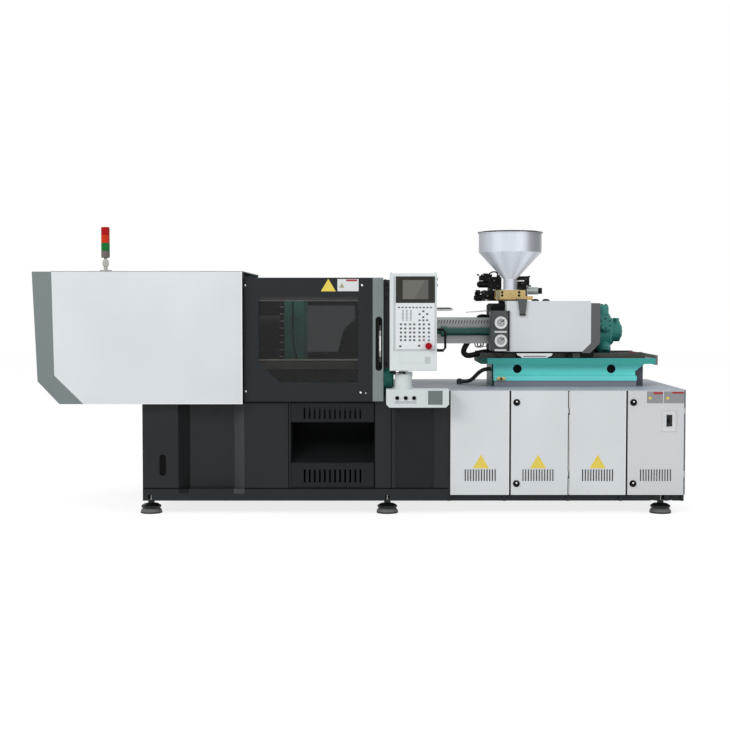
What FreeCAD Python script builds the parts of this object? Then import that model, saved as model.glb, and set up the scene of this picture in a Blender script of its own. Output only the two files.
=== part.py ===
import FreeCAD, Part
import math
import os

# Injection moulding machine, in millimetres. X runs from the clamp end to the injection end, -Y is the
# operator's side and Z is up from the floor. The shapes are laid out about the machine's centre line, and
# save() moves them all by row_shift so that the origin is the centre of the whole box on the floor.

V = FreeCAD.Vector

# Machine. Most places are counted from the deck, the base's sides, the mould axis and the cabinet's end.
deck_height = 745
base_half_width = 620
cabinet_right = 2148
axis_height = deck_height + 455
fit = 0.05
gap = 0.3

# Clamp base
base_left = -1445
base_right = 578
base_wall = 12
rail_bottom = 88
rail_top = 165
rail_width = 60
rail_proud = 4
deck_thickness = 20
recess_left = base_left + 238
recess_right = recess_left + 436
recess_depth = 68
chute_left = -464
chute_right = 91
chute_mouth_low = 341
chute_mouth_high = deck_height - 136
louvre_bottom = rail_top + 11
well_left = chute_left + 84
well_right = chute_right - 41
well_half_width = 170
access_left = base_right - 348
access_right = base_right - 91
access_bottom = rail_top + 6
access_top = deck_height - 46
hand_hole_x = base_left + 133
hand_hole_z = 325
hand_hole_width = 43
hand_hole_height = 142
louvre_slots = 12
louvre_slot_width = 12

# Levelling feet
foot_places = (base_left + 47, base_right - 400, cabinet_right - 146)
foot_offset = base_half_width - 60
foot_radius = 72
foot_pad_height = 34
foot_ring_radius = 66
foot_stack_height = 72
stud_radius = 11

# Platens, tie bars and clamp
platen_size = 650
fixed_platen_left = 60
fixed_platen_thickness = 140
moving_platen_thickness = 130
daylight = 450
tail_platen_left = -1000
tail_platen_thickness = 130
tie_spacing = 480
tie_radius = 36
tie_nut_radius = 56
tie_nut_length = 40
platen_foot_width = 80
locating_radius = 62.5
locating_depth = 70
mould_bolt_spacing = 210
mould_bolt_radius = 7
mould_bolt_depth = 45
ram_radius = 110
clamp_cylinder_radius = 180
clamp_cylinder_length = 650
clamp_stroke = 300
shoe_clearance = 0.3
raised_left = fixed_platen_left + 150

# Clamp covers
cover_bottom = deck_height - 10
cover_top = cover_bottom + 869
cover_half_width = base_half_width + 70
cover_sheet = 3
cover_right = -775
cover_seam_top = -2022
cover_seam_knee = -2009
cover_knee_height = cover_bottom + 188
cover_seam_bottom = -1819
end_top = -2150
end_knee = -2119
end_knee_height = cover_bottom + 149
end_bottom = -1977
roof_thickness = 3

# Signal tower
tower_x = -1675
tower_y = -(cover_half_width - 50)
tower_radius = 28
tower_hinge_rise = 60
tower_body_start = 28
tower_body_height = 45
tower_lens_height = 52
tower_foot_radius = 40

# Safety gates
gate_left = cover_right - 15
gate_right = 150
gate_bottom = deck_height + 6
gate_top = gate_bottom + 814
gate_front = base_half_width + 30
gate_thickness = 30
gate_skin = 3
gate_strip = 70
gate_travel = 700
window_left = gate_left + 118
window_right = gate_right - 165
window_bottom = gate_bottom + 125
window_top = gate_top - 126
inner_rail_heights = ((window_bottom + 89, window_bottom + 152), (window_top - 28, window_top + 12))
rear_window_left = gate_left + 370
rear_window_right = gate_right - 198
rear_window_bottom = gate_bottom + 278
rear_window_top = gate_top - 187
window_chamfer = 135
window_lap = 15
window_pane = 6
slot_centre = gate_right - 30
slot_width = 44
slot_bottom = gate_bottom + 201
slot_top = slot_bottom + 357
slot_depth = 22
pull_radius = 9
gate_rail_depth = 40
gate_rail_top = gate_top - 15
gate_rail_height = 50
gate_post_width = 43
post_lug_radius = 63
post_lug_height = deck_height + 155
post_lug_right = gate_right + 68
gate_running_gap = 8

# Cabinet
panel_sheet = 2
half_length = cabinet_right + panel_sheet
panel_gap = 13
panel_share = (cabinet_right - 10 - (base_right + 17) - 3 * panel_gap) / 4
panel_trims = (12, -1, -5, -6)
panel_lefts = [base_right + 17]
panel_rights = [panel_lefts[0] + panel_share + panel_trims[0]]
for trim in panel_trims[1:]:
    panel_lefts.append(panel_rights[-1] + panel_gap)
    panel_rights.append(panel_lefts[-1] + panel_share + trim)
panel_bottom = 128
panel_top = deck_height + 74
panel_front = base_half_width + 10
panel_fold = 14
vent_slots = 12
vent_pitch = 18
vent_slot_width = 7
vent_bottom = panel_bottom + 92
vent_top = panel_bottom + 170
frame_bottom = rail_bottom - 3
frame_front = panel_front - 30
frame_tube = 40
frame_flange = 4
top_sheet = 6
hinge_pin_radius = 2.5
hinge_knuckle_radius = 4.5
hinge_axis_y = -(panel_front - 3)
hinge_heights = (panel_bottom + 112, panel_top - 159)
hinge_knuckle_length = 35
lock_inset = 36
lock_heights = (panel_bottom + 75, panel_top - 77)
lock_radius = 18
lock_shaft_radius = 7
lock_cam_length = 57
switch_left = panel_rights[3] - 146
switch_right = panel_rights[3] - 58
switch_bottom = panel_top - 269
switch_top = switch_bottom + 133

# Injection bed and carriage
bed_left = 823
bed_right = cabinet_right - 117
bed_plate_bottom = panel_top + 162
bed_plate_top = bed_plate_bottom + 40
bed_half_width = 300
bed_web_outer = 235
bed_web = 20
bed_corner = 6
bed_web_left = bed_left + 90
bed_web_right = cabinet_right - 192
bed_foot_right = cabinet_right - 258
bed_flange_bottom = panel_top + 47
bed_flange_top = bed_flange_bottom + 34
bed_hole_radius = 30
bed_hole_places = (bed_web_left + 165, bed_web_right - 232)
bed_hole_height = bed_flange_top + 45
bed_rail_inner = 200
bed_rail_outer = 240
bed_rail_right = bed_web_right
bed_rail_height = 34
plinth_lefts = (bed_web_left - 8, cabinet_right - 278)
plinth_length = 80
plinth_half_width = 200
throat_x = 1049
throat_radius = 30
throat_block_left = throat_x - 148
throat_block_right = throat_x + 131
throat_block_half_width = 190
throat_block_top = axis_height + 195
hopper_outlet_radius = 38
carriage_plate = 12
carriage_left = throat_block_left + 84
carriage_right = 1600
shoe_places = ((throat_x + 20, throat_x + 263), (carriage_right - 188, carriage_right - 7))
injection_cover_left = carriage_left + 11
injection_cover_right = carriage_right - 27
injection_cover_bottom = axis_height - 134
injection_cover_top = axis_height + 212
injection_cover_half_width = 300
injection_cover_cut = 58
trim_right = injection_cover_right + 63
trim_top = injection_cover_top - 15
trim_bottom = injection_cover_bottom - 10
barrel_radius = 50
barrel_left = 420
nozzle_length = 90
screw_radius = 20
screw_stroke = 150
guide_rod_radius = 20
guide_rod_offset = 150
thrust_plate_left = 1380
thrust_plate_thickness = 50
motor_left = trim_right + 6
motor_right = motor_left + 106
motor_core_radius = 128
motor_lobe_radius = 50
motor_reach = 185
motor_lobes = 5
distributor_radius = 73
distributor_right = motor_right + 84
guard_left = barrel_left + 20
guard_half_width = 105
guard_bottom = axis_height - 84
guard_top = axis_height + 97
guard_sheet = 3
guard_slots = 22
pull_in_offset = 150
pull_in_radius = 28
pull_in_wall = 4
pull_in_left = 556
pull_in_flange_length = 42
pull_in_flange_radius = 36.5
pull_rod_radius = 15
pull_rod_end = 680
carriage_travel = 200
gauge_panel_left = throat_block_left - 16
gauge_panel_right = gauge_panel_left + 131
gauge_panel_bottom = axis_height - 130
gauge_panel_top = axis_height + 145
gauge_panel_thickness = 15
gauge_x = gauge_panel_left + 69
gauge_heights = (axis_height - 59, axis_height + 64)
gauge_radius = 42.5
gauge_depth = 25

# Hopper and valves
slide_left = throat_x - 102
slide_right = throat_x + 101
slide_half_width = 78
slide_bottom = injection_cover_top + 14
slide_top = slide_bottom + 62
slide_travel = 60
hopper_radius = 220
hopper_rim_radius = 226
hopper_cone_height = slide_top + 78
hopper_shoulder_height = hopper_cone_height + 186
hopper_rim_height = hopper_shoulder_height + 151
hopper_neck_radius = 46
hopper_wall = 3
throat_plate_left = throat_x - 94
throat_plate_right = throat_x + 154
throat_plate_bottom = injection_cover_top + 6
throat_plate_top = throat_plate_bottom + 28
throat_plate_half_width = 65
spout_left = throat_x + 28
spout_right = spout_left + 52
spout_bottom = injection_cover_top - 100
valve_y = 135
valve_body_depth = 60
coil_radius = 24
silver_coil_radius = 27

# Operator's controls
console_left = gate_right + 18
console_right = base_right - 1
console_bottom = deck_height - 28
console_top = deck_height + 91
console_front = base_half_width + 130
console_sheet = 3
console_chamfer = 20
button_places = (console_left + 70.5, console_left + 126.6, console_left + 180.8)
button_height = deck_height + 35
button_radius = 13
button_travel = 3
pedestal_x = console_left + 113
pedestal_y = -(base_half_width + 65)
pedestal_radius = 56
pedestal_top = console_top + 101
panel_left = pedestal_x - 91
panel_right = panel_left + 305
panel_low = pedestal_top + 22
panel_high = panel_low + 632
panel_back = base_half_width + 60
panel_face = panel_back + 110
panel_pivot_radius = 15
panel_clip_heights = (panel_high - 86, panel_high - 46)
fascia_left = panel_left + 37
fascia_right = panel_right - 10
fascia_bottom = panel_low + 129
fascia_top = fascia_bottom + 484
fascia_sheet = 3
bezel_bottom = fascia_top - 173
screen_left = fascia_left + 45
screen_right = screen_left + 167
screen_bottom = bezel_bottom + 24
screen_top = screen_bottom + 125
bezel_proud = 3
estop_x = fascia_right - 44.5
estop_z = fascia_bottom + 32
estop_radius = 22
estop_stem_radius = 11
estop_travel = 4
estop_reach = 32
handle_reach = 60
handle_low = estop_z - 26
handle_high = handle_low + 128
handle_radius = 6

# Hoses
feed_hose_diameter = 38
feed_hose_y = -80
feed_hose_route = [
    (throat_block_left + x, axis_height + z)
    for x, z in ((-141, -61), (-192, -129), (-168, -173), (-105, -164), (-53, -143), (0, -143))
]
conduit_diameter = 28
conduit_route = [
    (plinth_lefts[0] + x, y, panel_top + z)
    for x, y, z in ((0, -60, 117), (-37, -60, 117), (-73, -48, 95), (-99, -22, 65), (-119, 14, 39), (-148, 40, 24),
                    (-185, 40, 24))
]

# Derived places
front_reach = panel_face + fascia_sheet + estop_reach
row_shift = (front_reach - cover_half_width) / 2
fixed_platen_right = fixed_platen_left + fixed_platen_thickness
moving_platen_right = fixed_platen_left - daylight
moving_platen_left = moving_platen_right - moving_platen_thickness
tail_platen_right = tail_platen_left + tail_platen_thickness
tie_offset = tie_spacing / 2
platen_half = platen_size / 2
cover_inner = cover_half_width - cover_sheet
carriage_bottom = bed_plate_top + bed_rail_height + gap
carriage_top = carriage_bottom + carriage_plate
roof_top = cover_top + roof_thickness
tower_hinge_z = roof_top + tower_hinge_rise
gate_back = gate_front - gate_thickness
gate_rail_front = gate_back - gap * 2
screw_bore = screw_radius + gap


def box(x, y, z):
    return Part.makeBox(x[1] - x[0], y[1] - y[0], z[1] - z[0], V(x[0], y[0], z[0]))


def rod_x(x, y, z, radius):
    return Part.makeCylinder(radius, x[1] - x[0], V(x[0], y, z), V(1, 0, 0))


def rod_y(x, y, z, radius):
    return Part.makeCylinder(radius, y[1] - y[0], V(x, y[0], z), V(0, 1, 0))


def rod_z(x, y, z, radius):
    return Part.makeCylinder(radius, z[1] - z[0], V(x, y, z[0]), V(0, 0, 1))


def cone_x(x, y, z, radius_low, radius_high):
    return Part.makeCone(radius_low, radius_high, x[1] - x[0], V(x[0], y, z), V(1, 0, 0))


def face_of(corners):
    return Part.Face(Part.makePolygon(corners + corners[:1]))


def plate_xz(outline, y):
    return face_of([V(px, y[0], pz) for px, pz in outline]).extrude(V(0, y[1] - y[0], 0))


def plate_xy(outline, z):
    return face_of([V(px, py, z[0]) for px, py in outline]).extrude(V(0, 0, z[1] - z[0]))


def plate_yz(outline, x):
    return face_of([V(x[0], py, pz) for py, pz in outline]).extrude(V(x[1] - x[0], 0, 0))


def turned_z(profile, x, y):
    face = face_of([V(x + radius, y, z) for radius, z in profile])
    return face.revolve(V(x, y, 0), V(0, 0, 1), 360)


def turned_x(profile, y, z):
    face = face_of([V(x, y, z + radius) for radius, x in profile])
    return face.revolve(V(0, y, z), V(1, 0, 0), 360)


def obround_xz(x, z, width, height, y):
    end = width / 2
    rise = height / 2 - end
    middle = box((x - end, x + end), y, (z - rise, z + rise))
    return fuse([middle, rod_y(x, y, z - rise, end), rod_y(x, y, z + rise, end)])


def fuse(shapes):
    joined = shapes[0]
    if len(shapes) > 1:
        joined = shapes[0].multiFuse(shapes[1:])
    return joined.removeSplitter()


def cut(shape, tools):
    return shape.cut(tools).removeSplitter()


def mirrored_y(shape):
    return shape.mirror(V(0, 0, 0), V(0, 1, 0))


def slot_row(left, count, pitch, width, y, z):
    slots = []
    for i in range(count):
        x = left + i * pitch
        slots.append(box((x, x + width), y, z))
    return slots


def edges_on_plane(shape, axis, value):
    def lies(edge):
        return all(abs(getattr(v.Point, axis) - value) < 0.001 for v in edge.Vertexes)
    return [edge for edge in shape.Edges if lies(edge)]


def save(node, solids):
    shape = solids[0] if len(solids) == 1 else Part.makeCompound(solids)
    shape = shape.copy()
    shape.translate(V(0, row_shift, 0))
    shape.exportStep("parts/" + node + ".step")
    count = len(shape.Solids)
    state = "valid" if shape.isValid() else "NOT VALID"
    print(f"{node:24s} {count:3d} solid(s) {state} {shape.Volume / 1e6:10.3f} dm3")


# Feet and clamp base


def levelling_feet():
    profile = [
        (0, 0), (foot_radius, 0), (foot_radius, 8), (foot_radius - 3, 20), (foot_radius - 16, foot_pad_height),
        (foot_ring_radius, foot_pad_height + 4), (foot_ring_radius, foot_pad_height + 16),
        (foot_ring_radius - 20, foot_stack_height - 10), (2.0 * stud_radius, foot_stack_height - 6),
        (2.0 * stud_radius, rail_bottom), (stud_radius, rail_bottom), (stud_radius, rail_bottom + 50), (0, rail_bottom + 50),
    ]
    feet = []
    for x in foot_places:
        for y in (-foot_offset, foot_offset):
            feet.append(turned_z(profile, x, y))
    return feet


def foot_ear(x, y, top):
    ear = rod_z(x, y, (rail_bottom, top), foot_radius)
    return ear


def foot_stud_hole(x, y):
    return rod_z(x, y, (rail_bottom - 1, rail_bottom + 52), stud_radius + gap)


def foot_notch(x, y):
    outer = y + math.copysign(foot_radius + 5, y)
    low, high = sorted((y, outer))
    return box((x - stud_radius - 4, x + stud_radius + 4), (low, high), (rail_bottom - 1, rail_bottom + 38))


def base_outline():
    half = base_half_width
    inner = half - recess_depth
    near = [
        (base_left, -half), (recess_left, -half), (recess_left + recess_depth, -inner),
        (recess_right - recess_depth, -inner), (recess_right, -half), (base_right, -half),
    ]
    far = [(x, -y) for x, y in reversed(near)]
    return near + far


def clamp_base():
    outline = [V(x, y, rail_top) for x, y in base_outline()]
    outer = face_of(outline)
    inner = outer.makeOffset2D(-base_wall, 2)
    walls = outer.extrude(V(0, 0, deck_height - rail_top))
    hollow = inner.extrude(V(0, 0, deck_height - deck_thickness - rail_top))
    walls = walls.cut(hollow)
    half = base_half_width
    rail_half = half + rail_proud
    rail = box((base_left, base_right), (-rail_half, rail_half), (rail_bottom, rail_top))
    rail = rail.cut(box((base_left + rail_width, base_right - rail_width),
                        (-half + rail_width, half - rail_width), (rail_bottom, rail_top - base_wall)))
    parts = [walls, rail]
    for x in (chute_left - base_wall, chute_right):
        parts.append(box((x, x + base_wall), (-half + base_wall, half - base_wall),
                         (rail_top, deck_height - deck_thickness)))
    slope_rear = well_half_width + base_wall
    slope = [
        (-half + base_wall, chute_mouth_low - base_wall), (-half + base_wall, chute_mouth_low),
        (slope_rear, deck_height - deck_thickness), (slope_rear + 2 * base_wall, deck_height - deck_thickness),
    ]
    parts.append(plate_yz(slope, (chute_left, chute_right)))
    raised = box((raised_left, base_right), (-half, half), (deck_height, panel_top))
    raised = raised.cut(box((raised_left + base_wall, base_right - base_wall),
                            (-half + base_wall, half - base_wall), (deck_height, panel_top)))
    for x in foot_places[:2]:
        for y in (-foot_offset, foot_offset):
            parts.append(foot_ear(x, y, rail_top - 15))
    base = fuse(parts)
    tools = [
        box((chute_left, chute_right), (-half - 1, -half + base_wall), (louvre_bottom, deck_height + 1)),
        box((well_left, well_right), (-well_half_width, well_half_width),
            (deck_height - deck_thickness - 1, deck_height + 1)),
        obround_xz(hand_hole_x, hand_hole_z, hand_hole_width, hand_hole_height, (-half - 1, -half + base_wall + 1)),
        box((access_left, access_right), (-half - 1, -half + base_wall - 4), (access_bottom, access_top)),
    ]
    for x in foot_places[:2]:
        for y in (-foot_offset, foot_offset):
            tools.append(foot_stud_hole(x, y))
            tools.append(foot_notch(x, y))
    base = cut(base, tools)
    seams = (base_left - 1, chute_left - base_wall, chute_right + base_wall, base_right + 1)
    sections = [base.common(box((low, high), (-rail_half, rail_half), (rail_bottom, deck_height)))
                for low, high in zip(seams, seams[1:])]
    return sections + [raised]


def base_panels():
    half = base_half_width
    left = chute_left + gap
    right = chute_right - gap
    slot_pitch = (right - left) * 0.0606
    first = (left + right) / 2 - slot_pitch * (louvre_slots - 1) / 2 - louvre_slot_width / 2
    solids = []
    for low, high, slot_low, slot_high in (
        (chute_mouth_high, deck_height - gap, chute_mouth_high + 23, chute_mouth_high + 99),
        (louvre_bottom + gap, chute_mouth_low, louvre_bottom + 33, chute_mouth_low - 45),
    ):
        panel = box((left, right), (-half, -half + base_wall), (low, high))
        panel = panel.makeChamfer(4, edges_on_plane(panel, "y", -half))
        slots = slot_row(first, louvre_slots, slot_pitch, louvre_slot_width,
                         (-half - 1, -half + base_wall + 1), (slot_low, slot_high))
        solids.append(cut(panel, slots))
    cover = box((access_left + gap, access_right - gap), (-half + 3, -half + base_wall - 4),
                (access_bottom + gap, access_top - gap))
    screws = []
    for x in (access_left + 28, access_right - 28):
        for z in (access_bottom + 20, access_top - 20):
            screws.append(rod_y(x, (-half + 1, -half + 3), z, 6))
    solids.append(fuse([cover] + screws))
    return solids


# Clamp unit


def tie_places():
    return [(sy * tie_offset, axis_height + sz * tie_offset) for sy in (-1, 1) for sz in (-1, 1)]


def tie_holes(x):
    return [rod_x((x[0] - 1, x[1] + 1), y, z, tie_radius + fit) for y, z in tie_places()]


def platen_block(x):
    block = box(x, (-platen_half, platen_half), (axis_height - platen_half, axis_height + platen_half))
    return block.makeChamfer(18, [e for e in block.Edges if abs(e.Vertexes[0].X - e.Vertexes[-1].X) > 1])


def platen_feet(x, bottom):
    feet = []
    for side in (-1, 1):
        y = sorted((side * (platen_half - platen_foot_width), side * (platen_half - 10)))
        feet.append(box(x, y, (bottom, axis_height - platen_half)))
    return feet


def mould_bolt_holes(x_face, side):
    reach = mould_bolt_spacing / 2
    x = sorted((x_face - side, x_face + side * mould_bolt_depth))
    return [rod_x(x, sy * reach, axis_height + sz * reach, mould_bolt_radius) for sy in (-1, 1) for sz in (-1, 1)]


def fixed_platen():
    x = (fixed_platen_left, fixed_platen_right)
    waist = fixed_platen_left + locating_depth
    tools = tie_holes(x) + mould_bolt_holes(fixed_platen_left, 1)
    tools.append(rod_x((fixed_platen_left - 1, waist), 0, axis_height, locating_radius))
    tools.append(cone_x((waist, fixed_platen_right), 0, axis_height, locating_radius, locating_radius * 1.52))
    platen = cut(platen_block(x), tools)
    rods = []
    piston_radius = pull_in_radius - pull_in_wall - gap
    for side in (-1, 1):
        y = side * pull_in_offset
        rod = rod_x((fixed_platen_right, pull_rod_end), y, axis_height, pull_rod_radius)
        rods.append(fuse([rod, rod_x((pull_rod_end - 20, pull_rod_end), y, axis_height, piston_radius)]))
    lug = post_lug()
    return [platen, lug, mirrored_y(lug)] + platen_feet(x, deck_height) + rods


def post_lug():
    left = gate_right + 2
    y = -gate_rail_front + gate_rail_depth / 2
    radius = post_lug_radius
    height = post_lug_height
    round_end = rod_x((left, post_lug_right), y, height, radius)
    round_end = round_end.makeChamfer(10, edges_on_plane(round_end, "x", post_lug_right))
    arm = box((left + 4, fixed_platen_right), (y, -platen_half), (height - 45, height + 45))
    seat = box((left, left + gate_post_width), (y - gate_rail_depth / 2, y + gate_rail_depth / 2),
               (height, height + radius + 4))
    return fuse([round_end, arm, seat])


def moving_platen():
    x = (moving_platen_left, moving_platen_right)
    platen = fuse([platen_block(x)] + platen_feet(x, deck_height + shoe_clearance))
    tools = tie_holes(x) + mould_bolt_holes(moving_platen_right, -1)
    tools.append(rod_x((x[0] - 1, x[1] + 1), 0, axis_height, 22))
    for side in (-1, 1):
        pocket = sorted((side * (platen_half - 22), side * (platen_half + 1)))
        for z in (axis_height - 90, axis_height + 10):
            tools.append(box((x[0] + 30, x[1] - 30), pocket, (z, z + 80)))
    return cut(platen, tools)


def tail_platen():
    x = (tail_platen_left, tail_platen_right)
    tools = tie_holes(x)
    tools.append(rod_x((x[0] - 1, x[1] + 1), 0, axis_height, ram_radius + gap))
    return [cut(platen_block(x), tools)] + platen_feet(x, deck_height)


def tie_bars():
    left = tail_platen_left - tie_nut_length
    right = fixed_platen_right + tie_nut_length
    bars = []
    for y, z in tie_places():
        bar = rod_x((left, right), y, z, tie_radius)
        nuts = [
            rod_x((left, tail_platen_left), y, z, tie_nut_radius),
            rod_x((fixed_platen_right, right), y, z, tie_nut_radius),
        ]
        bars.append(fuse([bar] + nuts))
    return bars


def clamp_cylinder():
    left = tail_platen_left - clamp_cylinder_length
    radius = clamp_cylinder_radius
    bore = ram_radius + gap
    flange = 40
    profile = [
        (0, left), (radius - 25, left), (radius, left + 25), (radius, left + 90), (radius - 20, left + 100),
        (radius - 20, tail_platen_left - flange), (radius + 10, tail_platen_left - flange),
        (radius + 10, tail_platen_left), (bore, tail_platen_left), (bore, left + 50), (0, left + 50),
    ]
    return turned_x(profile, 0, axis_height)


def clamp_ram():
    left = tail_platen_left - clamp_cylinder_length + 60
    ram = rod_x((left, moving_platen_left), 0, axis_height, ram_radius)
    return cut(ram, [rod_x((moving_platen_left - 200, moving_platen_left + 1), 0, axis_height, 40)])


# Clamp covers and signal tower


def cover_outline():
    return [
        (cover_seam_top, cover_top), (cover_seam_knee, cover_knee_height), (cover_seam_bottom, cover_bottom),
        (cover_right, cover_bottom), (cover_right, cover_top),
    ]


def cover_side(front):
    side = plate_xz(cover_outline(), (-cover_half_width, -cover_inner))
    lip = box((cover_seam_bottom, cover_right), (-cover_half_width, -base_half_width - rail_proud),
              (cover_bottom, cover_bottom + cover_sheet))
    fold = box((cover_right - cover_sheet, cover_right), (-cover_half_width, -cover_inner + 14),
               (cover_bottom, cover_top))
    shelf = box((base_left, cover_right), (-base_half_width - rail_proud, -base_half_width),
                (cover_bottom, cover_bottom + cover_sheet))
    panel = fuse([side, lip, fold, shelf])
    return panel if front else mirrored_y(panel)


def clamp_front_cover():
    return cover_side(True)


def clamp_rear_cover():
    roof = box((cover_seam_top, cover_right + 4), (-cover_half_width - 1.5, cover_half_width),
               (cover_top, roof_top))
    return fuse([cover_side(False), roof])


def clamp_end_cover():
    seam = [(cover_seam_top, cover_top), (cover_seam_knee, cover_knee_height), (cover_seam_bottom, cover_bottom)]
    outer = [(end_top, cover_top), (end_knee, end_knee_height), (end_bottom, cover_bottom)]
    shell = plate_xz(outer + seam[::-1], (-cover_half_width, cover_half_width))
    sheet = cover_sheet
    slant = sheet * math.tan(math.radians(22.5))
    reach = 200
    inner = [
        (end_top + sheet, cover_top - sheet), (end_knee + sheet, end_knee_height + slant),
        (end_bottom + slant, cover_bottom + sheet), (cover_seam_bottom + reach, cover_bottom + sheet),
        (cover_seam_bottom + reach, cover_top - sheet),
    ]
    return cut(shell, [plate_xz(inner, (-cover_inner, cover_inner))])


def tower_light_base():
    z = tower_hinge_z
    foot = rod_z(tower_x, tower_y, (roof_top, roof_top + 8), tower_foot_radius)
    foot = foot.makeChamfer(3, edges_on_plane(foot, "z", roof_top + 8))
    stem = rod_z(tower_x, tower_y, (roof_top + 8, z - 20), 13)
    cheeks = []
    for side in (-1, 1):
        y = sorted((tower_y + side * 9, tower_y + side * 16))
        cheeks.append(fuse([rod_y(tower_x, y, z, 18), box((tower_x - 18, tower_x + 18), y, (z - 26, z))]))
    bridge = box((tower_x - 18, tower_x + 18), (tower_y - 16, tower_y + 16), (z - 26, z - 19))
    pin = rod_y(tower_x, (tower_y - 20, tower_y + 20), z, 5)
    return fuse([foot, stem, bridge, pin] + cheeks)


def tower_light_column():
    z = tower_hinge_z
    start = z + tower_body_start
    radius = tower_radius
    lens_top = start + tower_body_height + 3 * tower_lens_height
    profile = [(0, start), (radius - 4, start), (radius, start + 6)]
    for i in range(3):
        seam = start + tower_body_height + i * tower_lens_height
        profile += [(radius, seam - 1), (radius - 1.5, seam), (radius, seam + 1)]
    profile += [(radius, lens_top - 5), (radius - 4, lens_top), (0, lens_top)]
    column = turned_z(profile, tower_x, tower_y)
    lug = fuse([
        rod_y(tower_x, (tower_y - 8.7, tower_y + 8.7), z, 17),
        box((tower_x - 9, tower_x + 9), (tower_y - 8.7, tower_y + 8.7), (z, start + 1)),
    ])
    hole = rod_y(tower_x, (tower_y - 10, tower_y + 10), z, 5 + fit)
    return cut(fuse([column, lug]), [hole])


# Safety gates


def window_outline(lap):
    left = window_left - lap
    bottom = window_bottom - lap
    corner = window_chamfer
    return [
        (left, window_top + lap), (left, bottom + corner), (left + corner, bottom),
        (window_right + lap, bottom), (window_right + lap, window_top + lap),
    ]


def rear_window_outline(lap):
    left = rear_window_left - lap
    right = rear_window_right + lap
    bottom = rear_window_bottom - lap
    top = rear_window_top + lap
    return [(left, top), (left, bottom), (right - 126, bottom), (right - 84, bottom + 165), (right, bottom + 247),
            (right, top)]


def gate_panel(outline):
    y_front = -gate_front
    y_back = -gate_back
    panel = box((gate_left, gate_right), (y_front, y_back), (gate_bottom, gate_top))
    rim = 12
    skin_back = y_front + gate_skin
    strip_left = gate_right - gate_strip
    hollow = box((gate_left + rim, strip_left - rim), (skin_back, y_back + 1), (gate_bottom + rim, gate_top - rim))
    ring = plate_xz(outline(window_lap + rim), (skin_back - 1, y_back + 2))
    hollow = hollow.cut(ring)
    slot_middle = (slot_bottom + slot_top) / 2
    seam = box((strip_left - 2, strip_left), (y_front - 1, y_front + 3), (gate_bottom - 1, gate_top + 1))
    tools = [
        hollow,
        seam,
        plate_xz(outline(0), (y_front - 1, y_back + 1)),
        plate_xz(outline(window_lap), (skin_back + 2, y_back + 1)),
        obround_xz(slot_centre, slot_middle, slot_width, slot_top - slot_bottom, (y_front - 1, y_front + slot_depth)),
    ]
    panel = panel.cut(tools)
    hook_top = gate_rail_top + gap
    rail_back = gate_rail_front - gate_rail_depth
    hook = box((gate_left + 50, gate_right - 30), (y_back, -rail_back), (hook_top, hook_top + 6))
    pull = rod_z(slot_centre + slot_width / 2 - pull_radius - 3, y_front + slot_depth - 5,
                 (slot_bottom + 18, slot_top - 18), pull_radius)
    return fuse([panel, hook, pull])


def front_gate():
    x = (window_left - window_lap - 6, window_right + window_lap + 6)
    y = (-gate_front + gate_skin + 3 + window_pane, -gate_back)
    return fuse([gate_panel(window_outline)] + [box(x, y, z) for z in inner_rail_heights])


def gate_pane(outline):
    y = -gate_front + gate_skin + 2
    return plate_xz(outline, (y, y + window_pane))


def rear_gate():
    return mirrored_y(fuse([gate_panel(rear_window_outline), gate_pane(rear_window_outline(window_lap))]))


def gate_frame():
    front = -gate_rail_front
    y = (front, front + gate_rail_depth)
    right = gate_right + 2 + gate_post_width
    top = box((base_left, right), y, (gate_rail_top - gate_rail_height, gate_rail_top))
    bottom = box((base_left, right), y, (deck_height, deck_height + gate_rail_height))
    seat_top = post_lug_height + post_lug_radius + 4
    posts = [box((gate_right + 2, right), y, (seat_top + gap, gate_rail_top))]
    for x in (cover_right - gate_post_width - 2, base_left):
        posts.append(box((x, x + gate_post_width), y, (deck_height, gate_rail_top)))
    stop = box((gate_right + 8, right - 4), (front - 26, front), (gate_rail_top - 55, gate_rail_top - 5))
    return fuse([top, bottom, stop] + posts)


def gate_frames():
    frame = gate_frame()
    return [frame, mirrored_y(frame)]


# Cabinet


def tray(index, depth):
    left = panel_lefts[index]
    right = panel_rights[index]
    sheet = panel_sheet
    y_front = -panel_front
    shell = box((left, right), (y_front, y_front + depth), (panel_bottom, panel_top))
    inner = box((left + sheet, right - sheet), (y_front + sheet, y_front + depth + 1),
                (panel_bottom + sheet, panel_top - sheet))
    middle = (left + right) / 2
    first = middle - vent_pitch * (vent_slots - 1) / 2 - vent_slot_width / 2 + vent_offsets[index]
    slots = slot_row(first, vent_slots, vent_pitch, vent_slot_width,
                     (y_front - 1, y_front + sheet + 1), (vent_bottom, vent_top))
    return cut(shell, [inner] + slots)


vent_offsets = (3, -9, 0, 0)


def fixed_panels():
    return [tray(0, panel_fold), tray(2, panel_fold)]


def hinge_x(index):
    if index == 1:
        return (panel_rights[1] + panel_lefts[2]) / 2
    return panel_rights[3] + 6


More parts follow.
